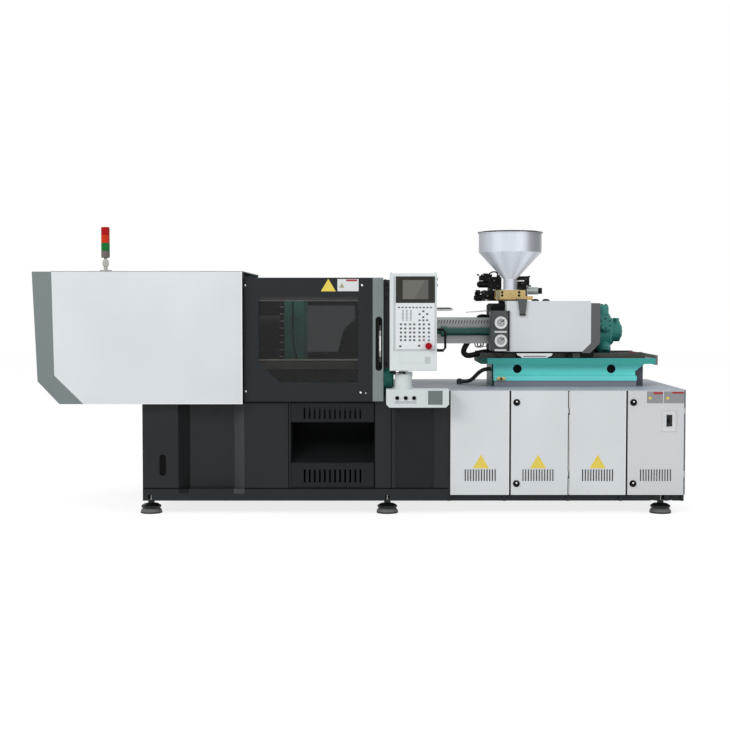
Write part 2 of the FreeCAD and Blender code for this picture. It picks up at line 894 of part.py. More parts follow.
def door(index):
    panel = tray(index, panel_fold - 2)
    x = hinge_x(index)
    y = hinge_axis_y
    parts = [panel]
    holes = []
    for low in hinge_heights:
        z = (low + 10 + gap, low + 10 + hinge_knuckle_length)
        parts.append(rod_z(x, y, z, hinge_knuckle_radius - (1 if index == 3 else 0)))
        parts.append(box((panel_rights[index] - panel_sheet, x), (y - 2, y + 2), z))
        holes.append(rod_z(x, y, (low, z[1] - 4), hinge_pin_radius + fit))
    lock_x = panel_lefts[index] + lock_inset
    for z in lock_heights:
        holes.append(rod_y(lock_x, (-panel_front - 1, -panel_front + panel_sheet + 1), z, lock_shaft_radius + fit))
    shape = fuse(parts)
    if index == 3:
        plate = box((switch_left, switch_right), (-panel_front - 3, -panel_front), (switch_bottom, switch_top))
        breaker_x = (switch_left + 19, switch_right - 31)
        body = box(breaker_x, (-panel_front - 12, -panel_front - 3), (switch_bottom + 35, switch_top - 24))
        shape = fuse([shape, plate, body])
        holes.append(switch_pocket())
    return cut(shape, holes)


def switch_centre():
    return (switch_left + 19 + switch_right - 31) / 2, (switch_bottom + 35 + switch_top - 24) / 2


def switch_pocket():
    x, z = switch_centre()
    return box((x - 8, x + 8), (-panel_front - 13, -panel_front - 3), (z - 14, z + 14))


def main_switch_lever():
    x, z = switch_centre()
    y = -panel_front - 9
    hub = rod_x((x - 7.5, x + 7.5), y, z, 5)
    lever = box((x - 4, x + 4), (y - 12, y), (z - 3.5, z + 3.5))
    return fuse([hub, lever])


def door_lock(index, z):
    x = panel_lefts[index] + lock_inset
    y_front = -panel_front
    body = rod_y(x, (y_front - 12, y_front - gap), z, lock_radius)
    body = body.makeChamfer(3, edges_on_plane(body, "y", y_front - 12))
    shaft = rod_y(x, (y_front - 1, y_front + panel_fold + 10), z, lock_shaft_radius)
    cam_y = (y_front + panel_fold + frame_flange + 2, y_front + panel_fold + frame_flange + 6)
    cam = box((x - 8, x + 8), cam_y, (z - 8, z + lock_cam_length))
    return fuse([body, shaft, cam])


def frame_posts():
    flange_y = (-panel_front + panel_fold, -panel_front + panel_fold + frame_flange)
    web_y = (flange_y[1], -frame_front + 0.7 * frame_tube)
    z = (frame_bottom, panel_top)
    right = cabinet_right - panel_sheet
    rear = panel_front - panel_sheet
    seam_hinge = (panel_rights[1] + panel_lefts[2]) / 2
    posts = []
    for web, low, high in (
        (base_right, base_right, panel_lefts[0] + 25),
        (panel_rights[0] - 38, panel_rights[0] - 38, panel_lefts[1] + 9),
        (seam_hinge - 10, seam_hinge - 12, panel_lefts[2] + 16),
        (panel_rights[2] - 38, panel_rights[2] - 38, panel_lefts[3] + 9),
        (right - 20, right - 22, right),
    ):
        posts.append(box((web, web + 20), web_y, z))
        posts.append(box((low, high), flange_y, (panel_bottom, panel_top)))
        rear_left = min(web, right - frame_tube)
        posts.append(box((rear_left, rear_left + frame_tube), (rear - frame_tube, rear), z))
    return posts


def hinge_lugs():
    lugs = []
    back = -panel_front + panel_fold + frame_flange + 2
    for index in (1, 3):
        x = hinge_x(index)
        for low in hinge_heights:
            lugs.append(box((x - 3.5, x + 3.5), (hinge_axis_y - hinge_knuckle_radius, back), (low, low + 10)))
            lugs.append(rod_z(x, hinge_axis_y, (low, low + 5 + hinge_knuckle_length), hinge_pin_radius))
    return lugs


def frame_ring(z, x_right):
    rear = panel_front - panel_sheet
    outer = box((base_right, x_right), (-frame_front, rear), z)
    inner = box((base_right + frame_tube, x_right - frame_tube), (-frame_front + frame_tube, rear - frame_tube), z)
    return outer.cut(inner)


def cabinet_frame():
    right = cabinet_right - panel_sheet
    ring_top = panel_top - frame_tube
    parts = frame_posts() + hinge_lugs()
    parts.append(frame_ring((frame_bottom, panel_bottom), right))
    parts.append(frame_ring((ring_top, panel_top), right))
    parts.append(box((base_right, right), (-frame_front, panel_front - panel_sheet),
                     (panel_bottom - 6, panel_bottom)))
    plinths = []
    for left in plinth_lefts:
        x = (left, left + plinth_length)
        parts.append(box(x, (-frame_front, panel_front - panel_sheet), (ring_top, panel_top)))
        plinths.append(box(x, (-plinth_half_width, plinth_half_width), (panel_top, bed_plate_bottom)))
    x = foot_places[2]
    for y in (-foot_offset, foot_offset):
        parts.append(foot_ear(x, y, panel_bottom - 2))
    tools = []
    for y in (-foot_offset, foot_offset):
        tools.append(rod_z(x, y, (frame_bottom - 1, rail_bottom + 52), stud_radius + gap))
        tools.append(foot_notch(x, y))
    tools.append(box((x - foot_radius - 1, x + foot_radius + 1), (-panel_front, panel_front),
                     (frame_bottom - 1, rail_bottom)))
    return [parts[0].multiFuse(parts[1:]).cut(tools)] + plinths


def cabinet_top():
    front = -panel_front
    console = -base_half_width
    outline = [
        (raised_left, console), (console_right, console), (console_right, front), (half_length, front),
        (half_length, panel_front), (raised_left, panel_front),
    ]
    sheet = plate_xy(outline, (panel_top, panel_top + top_sheet))
    tools = []
    for left in plinth_lefts:
        tools.append(box((left - gap, left + plinth_length + gap),
                         (-plinth_half_width - gap, plinth_half_width + gap),
                         (panel_top - 1, panel_top + top_sheet + 1)))
    end = conduit_route[-1]
    gland = box((end[0] - 40, end[0]), (end[1] - 24, end[1] + 24), (panel_top + top_sheet, end[2] + 20))
    gland = gland.makeChamfer(8, edges_on_plane(gland, "z", end[2] + 20))
    return fuse([cut(sheet, tools), gland])


def cabinet_rear_shell():
    rear = box((base_right, half_length), (panel_front - panel_sheet, panel_front), (panel_bottom, panel_top))
    side = box((cabinet_right, half_length), (-panel_front, panel_front), (panel_bottom, panel_top))
    lip = box((cabinet_right - panel_sheet, cabinet_right), (-panel_front + panel_fold, -frame_front),
              (panel_bottom, panel_top))
    return cut(fuse([rear, side, lip]), [box((cabinet_right - 2 * panel_sheet, cabinet_right),
                                             (-panel_front, -frame_front), (panel_bottom - 1, panel_top + 1))])


def pump_unit():
    floor = panel_bottom
    z = floor + 130
    left = panel_lefts[1] + 40
    motor = rod_x((left, left + 300), 0, z, 105)
    fins = []
    for i in range(7):
        x = left + 30 + i * 38
        fins.append(rod_x((x, x + 14), 0, z, 113))
    bell = cone_x((left + 300, left + 380), 0, z, 90, 70)
    pump = box((left + 380, left + 480), (-60, 60), (z - 60, z + 60))
    plate = box((left, left + 480), (-120, 120), (floor, floor + 12))
    stands = []
    for x in (left + 60, left + 240, left + 420):
        stands.append(box((x, x + 24), (-80, 80), (floor + 12, z - 40)))
    junction = box((left + 100, left + 190), (-45, 45), (z + 90, z + 150))
    return fuse([motor, bell, pump, plate, junction] + fins + stands)


def electrical_plate():
    left = panel_lefts[3] + 40
    right = panel_rights[3] - 40
    plate = box((left, right), (100, 104), (panel_bottom, panel_top - frame_tube - 10))
    foot = box((left, right), (104, 140), (panel_bottom, panel_bottom + 4))
    units = []
    pitch = (right - left - 26) / 4
    for row, (rise, height) in enumerate(((472, 110), (302, 90), (132, 110))):
        z = panel_bottom + rise
        for i in range(4):
            x = left + 20 + i * pitch
            units.append(box((x, x + pitch - 12 - 6 * row), (40, 100), (z, z + height)))
        units.append(box((left + 10, right - 10), (70, 100), (z - 40, z - 12)))
    return fuse([plate, foot] + units)


# Injection bed and carriage


def injection_bed():
    half = bed_half_width
    top = box((bed_left, bed_right), (-half, half), (bed_plate_bottom, bed_plate_top))
    end = box((bed_right - 15, bed_right), (-half, half), (bed_plate_bottom - 6, bed_plate_top + 20))
    parts = [top, end]
    drop = bed_plate_bottom - bed_flange_top
    web = [
        (bed_web_left, bed_plate_bottom), (bed_web_right, bed_plate_bottom),
        (bed_foot_right, bed_plate_bottom - drop * 0.65), (bed_foot_right, bed_flange_bottom),
        (bed_web_left, bed_flange_bottom),
    ]
    for side in (-1, 1):
        y = sorted((side * (bed_web_outer - bed_web), side * bed_web_outer))
        plate = plate_xz(web, y)
        holes = [rod_y(x, (y[0] - 1, y[1] + 1), bed_hole_height, bed_hole_radius) for x in bed_hole_places]
        parts.append(plate.cut(holes))
        flange = sorted((side * (bed_web_outer - bed_web), side * (half - 8)))
        parts.append(box((bed_web_left, bed_foot_right), flange, (bed_flange_bottom, bed_flange_top)))
        corner = [
            (side * bed_web_outer, bed_plate_bottom), (side * (bed_web_outer + bed_corner), bed_plate_bottom),
            (side * bed_web_outer, bed_plate_bottom - bed_corner),
        ]
        parts.append(plate_yz(corner, (bed_web_left, bed_web_right - bed_corner)))
    return fuse(parts)


def bed_rails():
    rails = []
    for side in (-1, 1):
        y = sorted((side * bed_rail_inner, side * bed_rail_outer))
        z = (bed_plate_top, bed_plate_top + bed_rail_height)
        rails.append(box((bed_left, bed_rail_right), y, z))
    return rails


def injection_housing():
    z = axis_height
    half = throat_block_half_width
    side = injection_cover_half_width - cover_sheet
    seam = injection_cover_right - injection_cover_cut - 5
    tail = injection_cover_half_width - 4 - cover_sheet - gap
    plate = fuse([
        box((carriage_left, seam), (-side, side), (carriage_bottom, carriage_top)),
        box((seam - 1, carriage_right), (-tail, tail), (carriage_bottom, carriage_top)),
    ])
    block = box((throat_block_left, throat_block_right), (-half, half), (carriage_top, throat_block_top))
    block = block.makeChamfer(14, edges_on_plane(block, "z", throat_block_top))
    front_foot = box((throat_block_left, carriage_left + 1), (-half, half), (bed_plate_top + 2, carriage_top + 1))
    neck = box((throat_x - 74, throat_x + 76), (-60, 60), (throat_block_top - 1, throat_plate_bottom))
    parts = [plate, block, front_foot, neck]
    for s in (-1, 1):
        parts.append(rod_x((throat_block_right - 1, carriage_right - 25), s * guide_rod_offset, z, guide_rod_radius))
        shoe = sorted((s * (bed_rail_outer + 1), s * (injection_cover_half_width - 10)))
        for x in shoe_places:
            parts.append(box(x, shoe, (bed_plate_top + 2, carriage_bottom)))
    tools = [
        rod_x((throat_block_left - 1, throat_block_right + 1), 0, z, screw_bore),
        rod_z(throat_x, 0, (z, throat_plate_bottom + 1), throat_radius),
    ]
    return cut(fuse(parts), tools)


def cover_section(left, right, bottom, top, cut_size):
    return [
        (left, top), (right, top), (right, bottom + cut_size), (right - cut_size, bottom), (left, bottom),
    ]


def injection_cover():
    half = injection_cover_half_width
    sheet = cover_sheet
    left = injection_cover_left
    right = injection_cover_right
    outer = plate_xz(cover_section(left, right, injection_cover_bottom, injection_cover_top, injection_cover_cut),
                     (-half, half))
    inner = box((left - 1, right + 1), (-half + sheet, half - sheet),
                (injection_cover_bottom - 1, injection_cover_top - sheet))
    neck = box((throat_x - 76, throat_x + 78), (-62, 62), (injection_cover_top - sheet - 1, injection_cover_top + 1))
    front_wall = [
        box((left, left + sheet), (side * (throat_block_half_width + gap) if side > 0 else -half,
                                   half if side > 0 else -(throat_block_half_width + gap)),
            (injection_cover_bottom + sheet, injection_cover_top))
        for side in (-1, 1)
    ]
    shell = cut(outer, [inner, neck])
    walls = [wall.cut(box((left - 1, left + sheet + 1), (-half + sheet, half - sheet),
                          (injection_cover_bottom, carriage_top + 1))) for wall in front_wall]
    return fuse([shell] + walls)


def cover_end_trim():
    half = injection_cover_half_width - 4
    cut_size = injection_cover_cut
    seam = injection_cover_right
    outline = [
        (seam, trim_top), (trim_right, trim_top), (trim_right, injection_cover_bottom + cut_size),
        (trim_right - cut_size - 8, trim_bottom), (seam - cut_size, trim_bottom),
        (seam - cut_size, injection_cover_bottom), (seam, injection_cover_bottom + cut_size),
    ]
    shell = plate_xz(outline, (-half, half))
    sheet = cover_sheet
    inner = [
        (seam - 100, trim_top - sheet), (trim_right - sheet, trim_top - sheet),
        (trim_right - sheet, injection_cover_bottom + cut_size + 1), (trim_right - cut_size - 9, trim_bottom + sheet),
        (seam - 100, trim_bottom + sheet),
    ]
    bore = rod_x((trim_right - 10, trim_right + 1), 0, axis_height, 82)
    plate_room = box((seam - 100, carriage_right + gap), (-half + sheet, half - sheet), (trim_bottom - 1, carriage_top + gap))
    return cut(shell, [plate_xz(inner, (-half + sheet, half - sheet)), bore, plate_room])


def gauge_panel():
    front = -injection_cover_half_width - gauge_panel_thickness
    plate = box((gauge_panel_left, gauge_panel_right), (front, -injection_cover_half_width),
                (gauge_panel_bottom, gauge_panel_top))
    plate = plate.makeChamfer(4, edges_on_plane(plate, "y", front))
    wing = box((gauge_panel_left, gauge_panel_left + cover_sheet), (-injection_cover_half_width, -200),
               (gauge_panel_bottom + 6, gauge_panel_top - 6))
    return fuse([plate, wing])


def pressure_gauges():
    front = -injection_cover_half_width - gauge_panel_thickness
    gauges = []
    for z in gauge_heights:
        case = rod_y(gauge_x, (front - gauge_depth, front), z, gauge_radius)
        dial = rod_y(gauge_x, (front - gauge_depth - 1, front - gauge_depth + 5), z, gauge_radius - 5)
        hub = rod_y(gauge_x, (front - gauge_depth, front - gauge_depth + 6), z, 4)
        needle = box((gauge_x - 1.2, gauge_x + 1.2), (front - gauge_depth + 2, front - gauge_depth + 6),
                     (z - 8, z + gauge_radius - 12))
        gauges.append(fuse([case.cut(dial), hub, needle]))
    return gauges


def barrel():
    z = axis_height
    tip = barrel_left - nozzle_length
    profile = [
        (3, tip), (12, tip), (24, tip + 16), (28, barrel_left - 20), (barrel_radius - 8, barrel_left),
        (barrel_radius, barrel_left + 8), (barrel_radius, throat_block_left), (screw_bore, throat_block_left),
        (screw_bore, tip + 60), (3, tip + 40),
    ]
    return turned_x(profile, 0, z)


def barrel_guard():
    half = guard_half_width
    sheet = guard_sheet
    right = throat_block_left
    section = [
        (-half, guard_bottom), (-half, guard_top - 14), (-half + 14, guard_top), (half - 14, guard_top),
        (half, guard_top - 14), (half, guard_bottom), (half - sheet, guard_bottom), (half - sheet, guard_top - 15),
        (half - 15, guard_top - sheet), (-half + 15, guard_top - sheet), (-half + sheet, guard_top - 15),
        (-half + sheet, guard_bottom),
    ]
    guard = plate_yz(section, (guard_left, right))
    pitch = 20
    slots = []
    for i in range(guard_slots):
        x = guard_left + 14 + i * pitch
        outline = [(x, guard_top - 44), (x + 6, guard_top - 44), (x + 16, guard_top - 18), (x + 10, guard_top - 18)]
        slots.append(plate_xz(outline, (-half - 1, half + 1)))
    start, after = [V(px, feed_hose_y, pz) for px, pz in feed_hose_route[:2]]
    ferrule = Part.makeCylinder(half - sheet + feed_hose_y + 0.5, 30, start, start - after)
    return fuse([cut(guard, slots), ferrule])


def pull_in_cylinders():
    cylinders = []
    for side in (-1, 1):
        bore = pull_in_radius - pull_in_wall
        profile = [
            (pull_rod_radius + gap, pull_in_left), (pull_in_flange_radius, pull_in_left),
            (pull_in_flange_radius, pull_in_left + pull_in_flange_length),
            (pull_in_radius, pull_in_left + pull_in_flange_length), (pull_in_radius, throat_block_left),
            (0, throat_block_left), (0, throat_block_left - 12), (bore, throat_block_left - 12),
            (bore, pull_in_left + 34), (pull_rod_radius + gap, pull_in_left + 34),
        ]
        cylinders.append(turned_x(profile, side * pull_in_offset, axis_height))
    return cylinders


def screw():
    tip = barrel_left - nozzle_length + 66
    core = screw_radius - 6
    end = thrust_plate_left + 20
    profile = [(0, tip), (6, tip + 2), (screw_radius - 2, tip + 24), (core, tip + 28)]
    pitch = 2 * screw_radius
    x = tip + 40
    while x + pitch < throat_block_right:
        profile += [(core, x), (screw_radius, x + 2), (screw_radius, x + 7), (core, x + 9)]
        x += pitch
    profile += [(core, throat_block_right - 20), (screw_radius, throat_block_right - 14), (screw_radius, end), (0, end)]
    return turned_x(profile, 0, axis_height)


def motor_body():
    z = axis_height
    left = motor_left
    right = motor_right
    middle = (left + right) / 2
    core = rod_x((left, right), 0, z, motor_core_radius)
    core = core.makeChamfer(8, edges_on_plane(core, "x", right))
    parts = [core]
    for i in range(motor_lobes):
        turn = 360 * i / motor_lobes
        barrel_part = rod_z(middle, 0, (z, z + motor_reach - 16), motor_lobe_radius)
        cap = rod_z(middle, 0, (z + motor_reach - 16, z + motor_reach), motor_lobe_radius - 3)
        cap = cap.makeChamfer(4, edges_on_plane(cap, "z", z + motor_reach))
        lobe = fuse([barrel_part, cap])
        lobe.rotate(V(middle, 0, z), V(1, 0, 0), turn)
        parts.append(lobe)
    return parts


def motor_distributor():
    z = axis_height
    right = motor_right
    neck = rod_x((right, right + 16), 0, z, 96)
    drum = rod_x((right + 16, distributor_right - 12), 0, z, distributor_radius)
    drum = drum.makeChamfer(4, edges_on_plane(drum, "x", distributor_right - 12))
    end = rod_x((distributor_right - 12, distributor_right), 0, z, 46)
    parts = [neck, drum, end]
    for y in (-34, 34):
        parts.append(rod_z(right + 48, y, (z + 40, z + 92), 17))
    for i in range(8):
        turn = math.radians(22.5 + 45 * i)
        parts.append(rod_x((right, right + 24), 84 * math.cos(turn), z + 84 * math.sin(turn), 7))
    return parts


def hydraulic_motor():
    z = axis_height
    plate_right = thrust_plate_left + thrust_plate_thickness
    plate = box((thrust_plate_left, plate_right), (-guide_rod_offset - 45, guide_rod_offset + 45), (z - 80, z + 80))
    tube = rod_x((plate_right - 1, motor_left + 1), 0, z, 70)
    shape = fuse([plate, tube] + motor_body() + motor_distributor())
    tools = [rod_x((thrust_plate_left - 1, plate_right + 1), side * guide_rod_offset, z, guide_rod_radius + fit)
             for side in (-1, 1)]
    tools.append(rod_x((thrust_plate_left - 1, thrust_plate_left + 21), 0, z, screw_bore))
    return cut(shape, tools)


# Hopper and valves


def hopper():
    outer = hopper_radius
    wall = hopper_wall
    neck = hopper_neck_radius
    foot = slide_top
    top = hopper_rim_height - 14
    profile = [
        (hopper_outlet_radius, foot), (neck + 16, foot), (neck + 16, foot + 6), (neck, foot + 6),
        (neck, hopper_cone_height), (outer, hopper_shoulder_height), (outer, top - 8),
        (hopper_rim_radius, top - 8), (hopper_rim_radius, top), (outer - wall, top),
        (outer - wall, hopper_shoulder_height + 1), (neck - wall, hopper_cone_height + 1), (neck - wall, foot + 3),
        (hopper_outlet_radius, foot + 3),
    ]
    return turned_z(profile, throat_x, 0)


def hopper_lid():
    top = hopper_rim_height - 14
    inner = hopper_radius - hopper_wall - 1
    profile = [
        (0, top), (inner - 6, top), (inner - 6, top - 10), (inner, top - 10), (inner, top),
        (hopper_rim_radius + 2, top), (hopper_rim_radius + 2, top + 5), (hopper_rim_radius - 40, top + 12),
        (0, top + 14),
    ]
    return turned_z(profile, throat_x, 0)


def hopper_slide_block():
    half = slide_half_width
    block = box((slide_left, slide_right), (-half, half), (slide_bottom, slide_top))
    block = block.makeChamfer(4, [e for e in edges_on_plane(block, "z", slide_top)])
    channel = box((slide_left - 1, slide_right + 1), (-throat_plate_half_width - gap, throat_plate_half_width + gap),
                  (slide_bottom - 1, throat_plate_top + gap))
    screws = []
    for x in (slide_left + 40, slide_right - 45):
        for z in (slide_bottom + 24, slide_bottom + 46):
            screws.append(rod_y(x, (-half - 1, -half + 8), z, 6))
    return cut(block, [channel, rod_z(throat_x, 0, (slide_bottom, slide_top + 1), hopper_outlet_radius)] + screws)


def hopper_base_plate():
    half = throat_plate_half_width
    plate = box((throat_plate_left, throat_plate_right), (-half, half), (throat_plate_bottom, throat_plate_top))
    front = -injection_cover_half_width - 3
    arm = box((spout_left, spout_right), (front - 12, -half), (injection_cover_top + 3, slide_bottom - 2))
    spout = [
        (spout_left - 6, slide_bottom - 2), (spout_right + 6, slide_bottom - 2),
        (spout_right - 6, spout_bottom + 6), (spout_left + 8, spout_bottom + 6),
    ]
    chute = plate_xz(spout, (front - 12, front))
    lip = box((spout_left + 6, spout_right - 4), (front - 14, front), (spout_bottom, spout_bottom + 7))
    throat = rod_z(throat_x, 0, (throat_plate_bottom - 1, throat_plate_top + 1), throat_radius)
    return cut(fuse([plate, arm, chute, lip]), [throat])


def coil(left, right, z, radius):
    end = min(10, (right - left) / 5)
    profile = [
        (0, left), (radius - 8, left), (radius - 8, left + end), (radius, left + end), (radius, right - 1),
        (0, right - 1),
    ]
    return turned_x(profile, valve_y, z)


def valve_stack():
    low = injection_cover_top
    half = valve_body_depth / 2
    y = (valve_y - half, valve_y + half)
    plug_y = (valve_y - half + 7, valve_y + half - 7)
    manifold = box((throat_x - 189, throat_x + 136), (y[0] - 5, y[1] + 7), (low, low + 72))
    body = box((throat_x - 144, throat_x - 49), y, (low + 72, low + 172))
    tower = box((throat_x + 63, throat_x + 131), y, (low + 72, low + 165))
    parts = [
        manifold,
        body.makeChamfer(6, edges_on_plane(body, "z", low + 172)),
        tower,
        coil(throat_x - 221, throat_x - 143, low + 118, coil_radius),
        coil(throat_x - 243, throat_x - 187, low + 22, coil_radius),
        box((throat_x - 177, throat_x - 144), plug_y, (low + 140, low + 196)),
        box((throat_x - 231, throat_x - 199), plug_y, (low + 40, low + 78)),
        box((throat_x + 51, throat_x + 147), plug_y, (low + 150, low + 176)),
        rod_x((throat_x + 121, throat_x + 213), valve_y, low + 72, silver_coil_radius),
        rod_x((throat_x + 212, throat_x + 241), valve_y, low + 72, silver_coil_radius - 5),
    ]
    return fuse(parts)


# Operator's controls


def console_box():
    chamfer = console_chamfer
    low = console_bottom
    left, right = console_left, console_right
    outline = [
        (left, console_top), (right, console_top), (right, low + chamfer), (right - chamfer, low),
        (left + chamfer, low), (left, low + chamfer),
    ]
    sheet = console_sheet
    back = -base_half_width
    shell = plate_xz(outline, (-console_front, back))
    inner = plate_xz([
        (left + sheet, console_top - sheet), (right - sheet, console_top - sheet),
        (right - sheet, low + chamfer + 1), (right - chamfer - 1, low + sheet),
        (left + chamfer + 1, low + sheet), (left + sheet, low + chamfer + 1),
    ], (-console_front + sheet, back - sheet))
    rings = [rod_y(x, (-console_front - 6, -console_front + 1), button_height, button_radius + 4)
             for x in button_places]
    holes = [rod_y(x, (-console_front - 7, -console_front + sheet + 1), button_height, button_radius + gap)
             for x in button_places]
    return cut(fuse([shell.cut(inner)] + rings), holes)


def console_button(x):
    cap = rod_y(x, (-console_front - 10, -console_front + 12), button_height, button_radius)
    return cap.makeChamfer(1.5, edges_on_plane(cap, "y", -console_front - 10))


def panel_pedestal():
    x, y = pedestal_x, pedestal_y
    radius = pedestal_radius
    column = rod_z(x, y, (console_top, pedestal_top), radius)
    column = column.makeChamfer(6, edges_on_plane(column, "z", pedestal_top))
    flange = rod_z(x, y, (console_top, console_top + 10), radius + 5)
    shoulder = box((x + 20, x + 60), (y - 12, y + 12), (pedestal_top - 20, pedestal_top + 12))
    shape = fuse([column, flange, shoulder])
    pocket = rod_z(x, y, (pedestal_top - 60, pedestal_top + 20), panel_pivot_radius + fit)
    neck_room = rod_z(x, y, (pedestal_top, pedestal_top + 30), 34)
    pin = lever_pin()
    return cut(fuse([shape, pin]), [pocket, neck_room])


def lever_place():
    return pedestal_x + 5, pedestal_y - 45


def lever_pin():
    x, y = lever_place()
    return rod_z(x, y, (pedestal_top - 1, pedestal_top + 11), 3)


def panel_lock_lever():
    x, y = lever_place()
    z = pedestal_top + gap
    hub = rod_z(x, y, (z, z + 12), 9)
    arm = box((x - 82, x), (y - 3.5, y + 3.5), (z + 4, z + 11))
    grip = rod_x((x - 96, x - 70), y, z + 8, 6)
    return cut(fuse([hub, arm, grip]), [rod_z(x, y, (z - 1, z + 13), 3 + fit)])


def control_panel():
    face = -panel_face
    back = -panel_back
    sheet = 3
    outer = box((panel_left, panel_right), (face, back), (panel_low, panel_high))
    outer = outer.makeChamfer(5, edges_on_plane(outer, "y", face))
    inner = box((panel_left + sheet, panel_right - sheet), (face + sheet, back - sheet),
                (panel_low + sheet, panel_high - sheet))
    neck = rod_z(pedestal_x, pedestal_y, (pedestal_top + gap, panel_low + 1), 30)
    pin = rod_z(pedestal_x, pedestal_y, (pedestal_top - 55, panel_low), panel_pivot_radius)
    clips = [box((panel_right, panel_right + 6), (face + 40, face + 70), (z, z + 18)) for z in panel_clip_heights]
    hole = rod_y(estop_x, (face - 1, face + sheet + 1), estop_z, estop_stem_radius + gap)
    return cut(fuse([outer.cut(inner), neck, pin] + clips), [hole])


def panel_fascia():
    face = -panel_face
    plate = box((fascia_left, fascia_right), (face - fascia_sheet, face), (fascia_bottom, fascia_top))
    bezel = box((fascia_left + 1, fascia_right - 3), (face - fascia_sheet - bezel_proud, face - fascia_sheet),
                (bezel_bottom, fascia_top - 1))
    bezel = bezel.makeChamfer(2, edges_on_plane(bezel, "y", face - fascia_sheet - bezel_proud))
    screen = box((screen_left, screen_right), (face - fascia_sheet - bezel_proud - 1, face - fascia_sheet),
                 (screen_bottom, screen_top))
    hole = rod_y(estop_x, (face - 20, face + 1), estop_z, estop_stem_radius + gap)
    return cut(fuse([plate, bezel]), [screen, hole])


def estop_button():
    face = -panel_face - fascia_sheet
    head_back = face - estop_travel - 4
    front = face - estop_reach
    profile = [
        (0, front), (estop_radius - 5, front), (estop_radius, front + 5), (estop_radius, head_back - 4),
        (estop_radius - 4, head_back), (estop_stem_radius, head_back), (estop_stem_radius, face + 20), (0, face + 20),
    ]
    face_polygon = face_of([V(estop_x + r, y, estop_z) for r, y in profile])
    return face_polygon.revolve(V(estop_x, 0, estop_z), V(0, 1, 0), 360)


def panel_handle():
    x = panel_right
    y = -(panel_face + panel_back) / 2 - 20
    reach = handle_reach - handle_radius
    bend = 16
    out = x + reach
    low, high = handle_low, handle_high
    corner_low = V(out - bend * (1 - math.sqrt(0.5)), y, low + bend * (1 - math.sqrt(0.5)))
    corner_high = V(out - bend * (1 - math.sqrt(0.5)), y, high - bend * (1 - math.sqrt(0.5)))
    edges = [
        Part.LineSegment(V(x, y, low), V(out - bend, y, low)).toShape(),
        Part.Arc(V(out - bend, y, low), corner_low, V(out, y, low + bend)).toShape(),
        Part.LineSegment(V(out, y, low + bend), V(out, y, high - bend)).toShape(),
        Part.Arc(V(out, y, high - bend), corner_high, V(out - bend, y, high)).toShape(),
        Part.LineSegment(V(out - bend, y, high), V(x, y, high)).toShape(),
    ]
    path = Part.Wire(edges)
    ring = Part.Wire(Part.makeCircle(handle_radius, V(x, y, low), V(1, 0, 0)))
    bar = path.makePipeShell([ring], True, False)
    bases = [rod_x((x, x + 5), y, z, handle_radius + 5) for z in (low, high)]
    return fuse([bar] + bases)


# Hoses


def hose(points, diameter):
    places = [V(*p) for p in points]
    edges = []
    start = places[0]
    radii = []
    for before, corner, after in zip(places, places[1:], places[2:]):
        back = before - corner
        ahead = after - corner
        turn = math.pi - back.getAngle(ahead)
        radius = 0.45 * min(back.Length, ahead.Length) / math.tan(turn / 2)
        radii.append(round(radius, 1))
        inset = radius * math.tan(turn / 2)
        back.normalize()
        ahead.normalize()
        first = corner + back * inset
        last = corner + ahead * inset
        bisector = back + ahead
        bisector.normalize()
        middle = corner + bisector * (radius / math.cos(turn / 2) - radius)
        edges.append(Part.LineSegment(start, first).toShape())
        edges.append(Part.Arc(first, middle, last).toShape())
        start = last
    edges.append(Part.LineSegment(start, places[-1]).toShape())
    path = Part.Wire(edges)
    ring = Part.Wire(Part.makeCircle(diameter / 2, places[0], places[1] - places[0]))
    tube = path.makePipeShell([ring], True, False)
    section = math.pi * diameter ** 2 / 4
    print("hose radii", radii, "length", round(path.Length, 1), "volume ratio",
          round(tube.Volume / (section * path.Length), 4))
    return tube


def feed_hose():
    return hose([(x, feed_hose_y, z) for x, z in feed_hose_route], feed_hose_diameter)


def conduit_hose():
    return hose(conduit_route, conduit_diameter)


